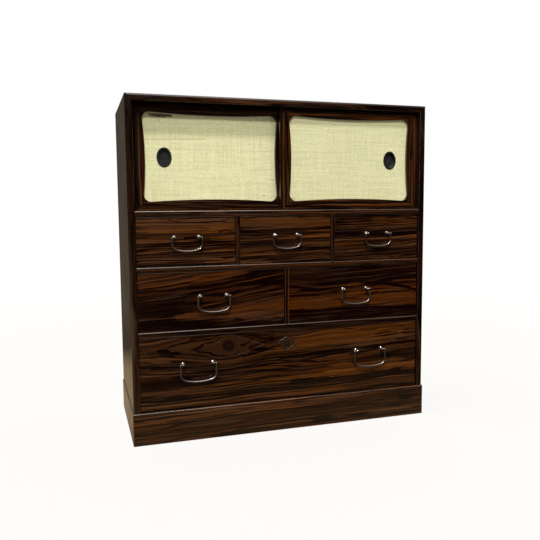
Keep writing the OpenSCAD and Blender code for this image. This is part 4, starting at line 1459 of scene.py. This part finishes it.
@dataclass
class Lock:
    """The key plate and lock case with the bolt."""

    body: str = "large_drawer"
    width: float = 46.0
    height: float = 33.0
    power: float = 1.3
    lobe: float = 1.1
    middle: tuple[float, float] = (0.0, 215.8)
    trim_r: float = 0.8
    hole_r: float = 3.1
    slot: tuple[float, float] = (3.2, 7.4)
    points: int = 144
    sides: int = 10
    head_sides: int = 12
    trim_depth: float = -1.0
    head_depth: float = -1.4
    doming: float = 0.75
    ward_depths: tuple[float, float] = (-0.6, 1.0)
    ward_steps: tuple[int, int] = (28, 10)
    heads: tuple[tuple[float, float, float], ...] = (
        (-15.2, 8.6, 1.5), (-8.6, 12.6, 1.5), (-1.2, 15.0, 1.5), (0.0, -9.6, 1.4),
    )

    def build(self) -> None:
        """Dresses the lock's nodes and makes the plate's beading and the ward in its keyhole."""
        dress("lock_parts", KEY_BRONZE)
        dress("lock_bolt", IRON)
        self.make_trim()
        self.make_ward()
        self.make_heads()

    def at(self, x: float, depth: float, z: float) -> Vector:
        """A point from the plate's middle and the drawer's face, in metres."""
        return Vector((self.middle[0] + x, DRAWER_FACE + depth, self.middle[1] + z)) * MM

    def outline(self, turn: float) -> Vector:
        """A point on the beading's middle line, from the plate's middle.

        Args:
            turn: The angle that picks it, in radians.

        Returns:
            Its place across and up, in millimetres.
        """
        wide, high = self.width / 2 - self.trim_r - 0.2, self.height / 2 - self.trim_r - 0.2
        cos, sin = math.cos(turn), math.sin(turn)
        at = Vector((
            wide * math.copysign(abs(cos) ** (2 / self.power), cos),
            high * math.copysign(abs(sin) ** (2 / self.power), sin),
        ))
        return at * (1 - self.lobe * (1 - abs(math.cos(6 * turn))) / at.length)

    def make_trim(self) -> None:
        """Makes the beading that follows the plate's lobed edge."""
        piece = MeshPiece("key_plate_beading")
        line = [self.outline(2 * math.pi * i / self.points) for i in range(self.points)]
        rings = []
        for i, point in enumerate(line):
            ahead = (line[(i + 1) % len(line)] - line[i - 1]).normalized()
            across = Vector((ahead.y, 0.0, -ahead.x)) * self.trim_r * MM
            out = Vector((0.0, self.trim_r * MM, 0.0))
            centre = self.at(point.x, self.trim_depth, point.y)
            rings.append(piece.ring(centre, across, out, self.sides))
        piece.skin(rings, closed=True)
        piece.finish(KEY_BRONZE, self.body, "bronze")

    def make_heads(self) -> None:
        """Makes the small domed nail heads on the plate."""
        piece = MeshPiece("key_plate_nails")
        for x, z, radius in self.heads:
            rings = []
            for turn in map(math.radians, (0.0, 30.0, 60.0, 84.0)):
                centre = self.at(x, self.head_depth - self.doming * radius * math.sin(turn), z)
                size = radius * math.cos(turn) * MM
                axes = Vector((size, 0.0, 0.0)), Vector((0.0, 0.0, size))
                rings.append(piece.ring(centre, *axes, self.head_sides))
            piece.skin(rings)
        piece.finish(BRONZE, self.body, "bronze")

    def make_ward(self) -> None:
        """Makes the ward that closes the keyhole from inside, near black as painted shade in the
        hole.
        """
        half, drop = self.slot[0] / 2 - 0.1, self.slot[1]
        start = math.asin(half / self.hole_r)
        head_steps, foot_steps = self.ward_steps
        head, foot = [], []
        for i in range(head_steps + 1):
            turn = start + (2 * math.pi - 2 * start) * i / head_steps
            head.append((self.hole_r * math.sin(turn), -self.hole_r * math.cos(turn)))
        for i in range(foot_steps + 1):
            turn = math.pi - math.pi * i / foot_steps
            foot.append((half * math.cos(turn), -drop - half * math.sin(turn)))
        piece = MeshPiece("keyhole_ward")
        piece.skin([
            [piece.mesh.verts.new(self.at(x, depth, z)) for x, z in head + foot]
            for depth in self.ward_depths
        ])
        piece.finish(KEYHOLE_SHADE_BLACK, self.body, "bronze")


@dataclass
class Studio:
    """Pale floor, soft light and the camera at the photograph's angle."""

    camera_place: tuple[float, float, float] = (-483.81, -1572.43, 544.13)
    yaw: float = 0.30119
    pitch: float = -0.09793
    roll: float = -0.00818
    focal_px: float = 618.81
    frame_px: float = 540.0
    sensor: float = 36.0
    sun_azimuth: float = -17.0
    floor_reach: float = 12.0
    floor_z: float = -0.0001
    FLOOR_LIT: ClassVar[Colour] = rgb(0.26, 0.26, 0.26)
    FLOOR_SEEN: ClassVar[Colour] = rgb(0.79, 0.79, 0.79)
    SKY_LIGHT: ClassVar[Colour] = rgb(0.375, 0.34, 0.285)
    ROOM_FRONT: ClassVar[Colour] = rgb(0.009, 0.007, 0.004)
    ROOM_BACK: ClassVar[Colour] = rgb(0.100, 0.078, 0.060)
    LAMPS: ClassVar[Colour] = rgb(4.2, 4.15, 4.1)
    LAMPS_ABOVE: ClassVar[Colour] = rgb(1.5, 1.45, 1.4)
    LAMPS_RIGHT: ClassVar[Colour] = rgb(0.70, 0.66, 0.62)
    ROOM_DEPTH: ClassVar[tuple[float, float]] = (-0.2, 0.5)
    LAMPS_UP: ClassVar[tuple[float, float]] = (0.24, 0.60)
    LAMPS_TOP: ClassVar[tuple[float, float]] = (0.86, 0.98)
    LAMPS_SIDE: ClassVar[tuple[float, float]] = (0.08, 0.46)
    SIDE_EDGE: ClassVar[tuple[float, float]] = (-0.35, -0.42)
    FLOOR_FADE: ClassVar[tuple[float, float]] = (0.9, 3.0)
    GLOSS_FLOOR: ClassVar[Stops] = (
        (0.00, rgb(0.008, 0.006, 0.003)),
        (0.20, rgb(0.012, 0.009, 0.005)),
        (0.375, rgb(0.035, 0.028, 0.016)),
        (0.55, rgb(0.13, 0.105, 0.064)),
        (0.68, rgb(0.20, 0.16, 0.10)),
        (0.82, rgb(0.34, 0.26, 0.16)),
    )
    GLOSS_SIDE: ClassVar[Stops] = (
        (0.00, rgb(0.315, 0.235, 0.135)),
        (0.42, rgb(0.290, 0.215, 0.120)),
        (0.56, rgb(0.050, 0.037, 0.026)),
        (1.00, rgb(0.085, 0.065, 0.047)),
    )

    def build(self) -> None:
        """Sets the view transform and makes the camera, floor, world and suns."""
        bpy.context.scene.view_settings.view_transform = "Standard"
        self.make_camera()
        self.make_floor()
        self.make_world()
        self.make_sun("low_sun", 37.2, 1.60, 4.0)
        self.make_sun("high_sun", 58.4, 2.20, 6.0)

    def make_camera(self) -> None:
        """Makes the camera from the angles that fit the photograph."""
        lens = bpy.data.cameras.new("camera")
        lens.sensor_width = self.sensor
        lens.lens = self.focal_px / self.frame_px * self.sensor
        lens.clip_start = 0.05
        lens.clip_end = 100.0
        ahead = Vector((
            math.sin(self.yaw) * math.cos(self.pitch),
            math.cos(self.yaw) * math.cos(self.pitch),
            math.sin(self.pitch),
        ))
        level = Vector((math.cos(self.yaw), -math.sin(self.yaw), 0.0))
        above = level.cross(ahead)
        right = level * math.cos(self.roll) + above * math.sin(self.roll)
        up = above * math.cos(self.roll) - level * math.sin(self.roll)
        turn = Matrix((right, up, -ahead)).transposed().to_4x4()
        camera = add_object("camera", lens)
        camera.matrix_world = Matrix.Translation(Vector(self.camera_place) * MM) @ turn
        bpy.context.scene.camera = camera
        LOG.info("camera: lens %.2f mm", lens.lens)

    def make_floor(self) -> None:
        """Makes the pale floor, which fades into the white behind."""
        piece = MeshPiece("floor")
        far, z = self.floor_reach, self.floor_z
        corners = ((-far, -far, z), (far, -far, z), (far, far, z), (-far, far, z))
        piece.mesh.faces.new([piece.mesh.verts.new(corner) for corner in corners])
        data = piece.data()
        floor = add_object("floor", data)
        data.materials.append(self.floor_material())
        LOG.info("floor: %d face", len(data.polygons))

    def floor_material(self) -> bpy.types.Material:
        """A pale matt floor that is white far away and beige in the cabinet's gloss.

        Returns:
            The floor's material.
        """
        made = bpy.data.materials.new("pale_floor")
        tree = Tree.cleared(made)
        rays, seen = self.rays(tree)
        place = tree.node("ShaderNodeTexCoord").outputs["Object"]
        right, back, _ = tree.split(place)
        in_gloss = tree.blend(
            tree.step(right, *self.SIDE_EDGE),
            tree.ramp(tree.linear(back, 0.5, 0.7), self.GLOSS_FLOOR),
            tree.ramp(tree.linear(back, 0.4, 0.2), self.GLOSS_SIDE),
        )
        shown = tree.blend(seen, self.FLOOR_LIT, self.FLOOR_SEEN)
        colour = tree.blend(rays["Is Glossy Ray"], shown, in_gloss)
        matt = tree.node("ShaderNodeBsdfDiffuse", {"Color": colour}).outputs[0]
        white = tree.node("ShaderNodeEmission", {"Color": WHITE, "Strength": 1.0}).outputs[0]
        far = tree.step(tree.vector("LENGTH", place), *self.FLOOR_FADE)
        fade = tree.linear(far, 0.65, 0.35)
        mixed = tree.node("ShaderNodeMixShader", {0: tree.times(seen, fade), 1: matt, 2: white})
        tree.node("ShaderNodeOutputMaterial", {"Surface": mixed.outputs[0]})
        return made

    @staticmethod
    def rays(tree: Tree) -> tuple[bpy.types.NodeOutputs, Socket]:
        """The kinds of ray, and a mask of those that the camera sees by.

        Args:
            tree: The tree that asks.

        Returns:
            The light path's outputs and the mask.
        """
        kinds = tree.node("ShaderNodeLightPath").outputs
        return kinds, tree.math("MAXIMUM", kinds["Is Camera Ray"], kinds["Is Transmission Ray"])

    def make_world(self) -> None:
        """Makes even light all round, white behind the cabinet and a dim room in its gloss."""
        world = bpy.data.worlds.new("studio")
        bpy.context.scene.world = world
        tree = Tree.cleared(world)
        rays, seen = self.rays(tree)
        right, back, up = tree.split(tree.node("ShaderNodeTexCoord").outputs["Generated"])
        room = tree.blend(tree.step(back, *self.ROOM_DEPTH), self.ROOM_FRONT, self.ROOM_BACK)
        overhead = tree.blend(tree.step(up, *self.LAMPS_TOP), self.LAMPS, self.LAMPS_ABOVE)
        lamps = tree.blend(tree.step(right, *self.LAMPS_SIDE), overhead, self.LAMPS_RIGHT)
        gloss = tree.blend(tree.step(up, *self.LAMPS_UP), room, lamps)
        lit = tree.blend(rays["Is Glossy Ray"], self.SKY_LIGHT, gloss)
        feeds: Feeds = {"Color": tree.blend(seen, lit, WHITE), "Strength": 1.0}
        light = tree.node("ShaderNodeBackground", feeds)
        tree.node("ShaderNodeOutputWorld", {"Surface": light.outputs[0]})
        LOG.info("world: %s", world.name)

    def make_sun(self, name: str, elevation: float, strength: float, angle: float) -> None:
        """Makes a soft white sun on the camera's side, so that its shadow falls behind.

        Args:
            name: The lamp's name.
            elevation: Its height over the horizon, in degrees.
            strength: Its strength.
            angle: How wide it looks, in degrees.
        """
        lamp = bpy.data.lights.new(name, "SUN")
        lamp.energy = strength
        lamp.angle = math.radians(angle)
        sun = add_object(name, lamp)
        turn, lift = math.radians(self.sun_azimuth), math.radians(elevation)
        towards = Vector((
            math.sin(turn) * math.cos(lift), -math.cos(turn) * math.cos(lift), math.sin(lift),
        ))
        sun.rotation_mode = "QUATERNION"
        sun.rotation_quaternion = towards.to_track_quat("Z", "Y")
        LOG.info("%s: %.0f degrees up", name, elevation)


def left_door() -> SlidingDoor:
    """The left door, whose cloth has brown streaks near its upper left corner and painted shade
    along creases.

    Returns:
        The door.
    """
    # Brown streaks near the upper left corner, and a few small brown spots.
    brown_streaks = FigureMark.rows(
        (2.2, 1.0, -324, 764.5, -300, 762.5, -280, 762, -264, 761),
        (2.0, 1.0, -318, 760, -300, 758.5, -278, 757.5), (1.6, 0.9, -300, 760.5, -262, 759),
        (1.2, 0.7, -49, 577, -42, 577.5), (1.0, 0.6, -26, 615, -20, 615),
        (1.0, 0.5, -298, 750, -293, 750),
    )
    # Painted shade along creases of the cloth.
    crease_shades = FigureMark.rows(
        (1.3, 0.55, -345, 705, -300, 706.5, -240, 708, -182, 709),
        (1.1, 0.24, -390, 684, 30, 684.5), (0.9, 0.34, -275, 698, -240, 698),
        (0.9, 0.4, -148, 696, -135, 696), (0.9, 0.3, -168, 668, -80, 668),
        (0.9, 0.34, -290, 619, -262, 619), (0.9, 0.26, -238, 640, -182, 640),
        (0.9, 0.34, -78, 640, -18, 640),
    )
    return SlidingDoor("left", 14.3, brown_streaks, crease_shades)


def small_drawers() -> list[Drawer]:
    """The three small drawers, from the left.

    Returns:
        The drawers.
    """
    left = FigureMark.rows(
        (13.5, 0.28, -400, 511, -85, 511), (1.3, -0.56, -290, 529, -214, 516, -140, 527),
        (3.4, -0.26, -420, 489, -80, 488), (1.7, -0.48, -420, 466, -80, 466),
        (1.7, -0.48, -420, 461, -80, 461), (4.0, -0.18, -420, 434, -80, 434),
        (2.6, -0.48, -420, 418, -80, 418), (4.0, 0.22, -430, 474, -270, 474),
        (4.0, 0.22, -430, 449, -270, 449), (6.0, 0.25, -190, 476, -80, 476),
        (4.0, 0.25, -225, 449, -80, 449), (3.2, 0.4, -205, 422, -80, 422),
        (1.7, -0.48, -178, 484, -165, 492, -152, 496, -139, 492, -128, 485),
    )
    centre = FigureMark.rows(
        (13.0, 0.28, -180, 511, 180, 512), (7.5, -0.24, -180, 490, 180, 491),
        (1.3, 0.48, 45, 491, 170, 491), (3.2, 0.25, 20, 477, 180, 477),
        (4.0, 0.25, 20, 459, 180, 459), (5.5, -0.28, -180, 464, 5, 464),
        (4.0, -0.28, -35, 445, 180, 445), (3.2, 0.32, -180, 437, -15, 437),
        (3.5, 0.4, -180, 418, -35, 418),
    )
    right = FigureMark.rows(
        (2.0, -0.48, 105, 514, 232, 521), (1.7, -0.42, 105, 507, 232, 514),
        (12.5, 0.15, 130, 503, 420, 511), (3.5, 0.35, 265, 470, 410, 474),
        (3.5, 0.35, 90, 457, 218, 461), (2.6, 0.32, 160, 440, 235, 443),
        (1.3, 0.45, 270, 448, 410, 453), (7.0, -0.18, 80, 482, 420, 488),
        (8.0, -0.12, 80, 428, 420, 434),
    )
    made = []
    for name, place, seed, tone, tilt, contrast, marks in (
        ("small_left", -1, 21.4, 0.20, 0.0, 1.35, left),
        ("small_centre", 0, 22.7, 0.06, 0.02, 1.15, centre),
        ("small_right", 1, 23.5, -0.02, 0.03, 1.05, right),
    ):
        x = place * SMALL_PITCH
        grain = {"wander": 2.2, "fineness": 1.35, "lines": 1.2, "marks": marks}
        figure = Figure(x, 472.0, DRAWER_FACE, tilt, **grain)
        bail = DropHandle(f"{name}_bail", x, 481.0, SMALL_BAIL)
        made.append(Drawer(name, seed, tone, contrast, figure, (bail,)))
    return made


def middle_drawers() -> list[Drawer]:
    """The two middle drawers, from the left.

    Returns:
        The drawers.
    """
    left_marks = FigureMark.rows(
        (18.0, 0.34, -460, 379, -88, 395),
        (2.5, -0.64, -390, 357, -245, 362, -175, 367.5, -98, 383, 10, 399),
        (5.0, -0.45, -112, 381, -64, 389), (2.8, -0.64, -390, 340, -252, 342, -233, 350, -129, 362),
        (3.6, -0.42, -140, 361, 60, 374), (4.5, 0.18, -210, 350, -30, 360),
        (16.0, -0.16, -440, 322, -200, 325),
        (1.2, 0.38, -283, 314, -206, 321, -129, 333, -71, 340, -6, 337),
        (1.2, -0.38, -283, 311.6, -206, 318.6, -129, 330.6, -71, 337.6, -6, 335),
        (17.0, 0.44, -285, 299, 180, 312), (11.0, -0.42, -420, 284, -105, 282),
        (4.2, 0.14, -195, 276, 40, 277),
    )
    right_marks = FigureMark.rows(
        (18.0, -0.15, -60, 383, 430, 383),
        (1.6, -0.48, 80, 366, 159, 377, 217, 378, 294, 365, 380, 373),
        (4.2, 0.3, 162, 356, 216, 360), (3.4, -0.48, 188, 360, 263, 354, 380, 331),
        (3.3, -0.72, 32, 342, 118, 346), (1.7, -0.58, 0, 330.5, 101, 335, 150, 347),
        (18.0, 0.46, -180, 308, 580, 314), (3.5, -0.64, -10, 291, 56, 292),
        (2.8, -0.67, 30, 280, 132, 292, 217, 294, 294, 289, 380, 296),
        (9.0, -0.2, -60, 274, 430, 276),
    )
    orange = rgb(1.05, 0.92, 0.75)
    made = []
    for name, x, seed, tone, lean, marks in (
        ("middle_left", -182.0, 31.8, -0.14, (0.086, 1.2, 3.2), left_marks),
        ("middle_right", 182.0, 33.1, -0.22, (0.035, 0.4, 3.0), right_marks),
    ):
        bail = DropHandle(f"{name}_bail", x, 342.0, MIDDLE_BAIL)
        figure = Figure(x, 333.0, DRAWER_FACE, *lean, marks=marks)
        made.append(Drawer(name, seed, tone, 1.0, figure, (bail,), orange))
    return made


def large_drawer() -> Drawer:
    """The large drawer with the eye in its figure.

    Returns:
        The drawer.
    """
    marks = FigureMark.rows(
        (14.0, 0.1, -440, 234, -160, 232), (2.3, -0.61, -400, 185, -168, 162, -14, 169, 190, 184),
        (7.0, 0.2, -440, 166, -235, 165), (9.0, -0.38, -460, 142, -160, 143),
        (4.2, -0.3, -115, 149, 125, 148), (3.0, -0.26, -62, 151, 16, 152),
        (6.0, 0.28, -80, 128, 440, 138), (7.5, 0.18, 85, 135, 480, 132),
        (6.0, 0.16, -440, 123, -185, 123), (8.0, -0.36, -2, 115, 130, 116),
        (3.8, -0.3, 95, 117, 440, 117), (4.0, -0.36, -308, 109, -238, 109),
        (1.6, -0.45, -390, 98, -198, 96, -41, 98, 400, 109), (4.2, 0.2, -65, 85, 165, 86),
        (4.2, 0.1, -440, 83, -190, 83), (24.0, 0.26, -20, 222, 680, 226),
        (2.8, -0.34, 195, 239, 330, 240), (7.0, -0.3, 238, 219, 307, 220),
        (10.0, -0.3, 316, 221, 410, 222), (2.6, -0.64, -30, 170, 63, 187, 185, 187),
        (5.2, -0.4, 198, 188, 270, 189), (2.9, -0.67, 258, 193, 420, 195),
        (12.0, -0.32, 258, 162, 450, 161), (9.0, -0.26, 176, 158, 294, 158),
    )
    lines = FigureMark.rows(
        (4.6, -0.46, -318, 216.5, -300, 216, -285, 212, -262, 208),
        (5.5, -0.3, -313, 212, -262, 207.5),
        (1.7, -0.74, -330, 216.5, -297, 221, -285, 227, -268, 230.7, -237, 234.8, -210, 237.3,
         -187, 240, -172, 245, -158, 246.5, -140, 245.6, -130, 241.5, -107, 238.3, -93, 235.7, -80,
         231),
        (1.8, -0.67, -246, 242, -223, 245, -197, 247.5, -165, 251, -143, 247.5, -107, 244.6, -63,
         240.4, -30, 240),
        (1.7, -0.67, -240, 215.8, -225, 220.4, -202, 228.7, -183, 232, -172, 238, -162, 243.8),
        (3.6, -0.34, -232, 214.5, -222, 217, -207, 222.5),
        (1.8, -0.59, -230, 216, -224, 212, -213, 208, -201, 207),
        (2.0, -0.77, -272, 208.4, -253, 207, -236, 205.5, -213, 200, -190, 192.5, -163, 188.7,
         -135, 188, -116, 192, -90, 194.7, -57, 200.5, -40, 205),
        (2.0, -0.7, -226, 212.8, -202, 207, -190, 202, -173, 197.8, -155, 195, -140, 193.2, -131,
         197, -124, 204.5, -117, 213), (1.7, -0.55, -204, 206.5, -193, 204.5, -183, 198.5),
        (3.4, -0.41, -120, 218, -98, 219.3), (1.8, -0.67, -106, 219, -97, 224, -90, 231, -80, 233),
        (2.0, -0.7, -98, 211.5, -83, 214.5, -66, 221, -48, 222.5),
        (4.6, -0.48, -97, 209.5, -82, 206.5, -50, 206), (5.5, -0.39, -52, 228, -30, 227),
        (2.4, -0.48, -100, 197, -84, 199),
    )
    bails = tuple(
        DropHandle(f"large_{side}_bail", x, 182.65, LARGE_BAIL)
        for side, x in (("left", -222.0), ("right", 222.0))
    )
    eye = Eye(-148.5, 219.5, 172.0, 93.0, 28.0, 11.5, lines=lines)
    figure = Figure(100.0, 150.0, DRAWER_FACE, 0.02, 0.15, 3.0, marks=marks, eye=eye)
    return Drawer("large", 41.3, 0.05, 0.85, figure, bails)


def main() -> None:
    """Builds the studio and every sub-assembly in order."""
    logging.basicConfig(level=logging.INFO, format="%(name)s: %(message)s")
    Studio().build()
    Case().build()
    Plinth().build()
    left_door().build()
    SlidingDoor("right", 16.8, shade=0.94).build()
    for drawer in (*small_drawers(), *middle_drawers(), large_drawer()):
        drawer.build()
    Lock().build()


if __name__ == "__main__":
    main()
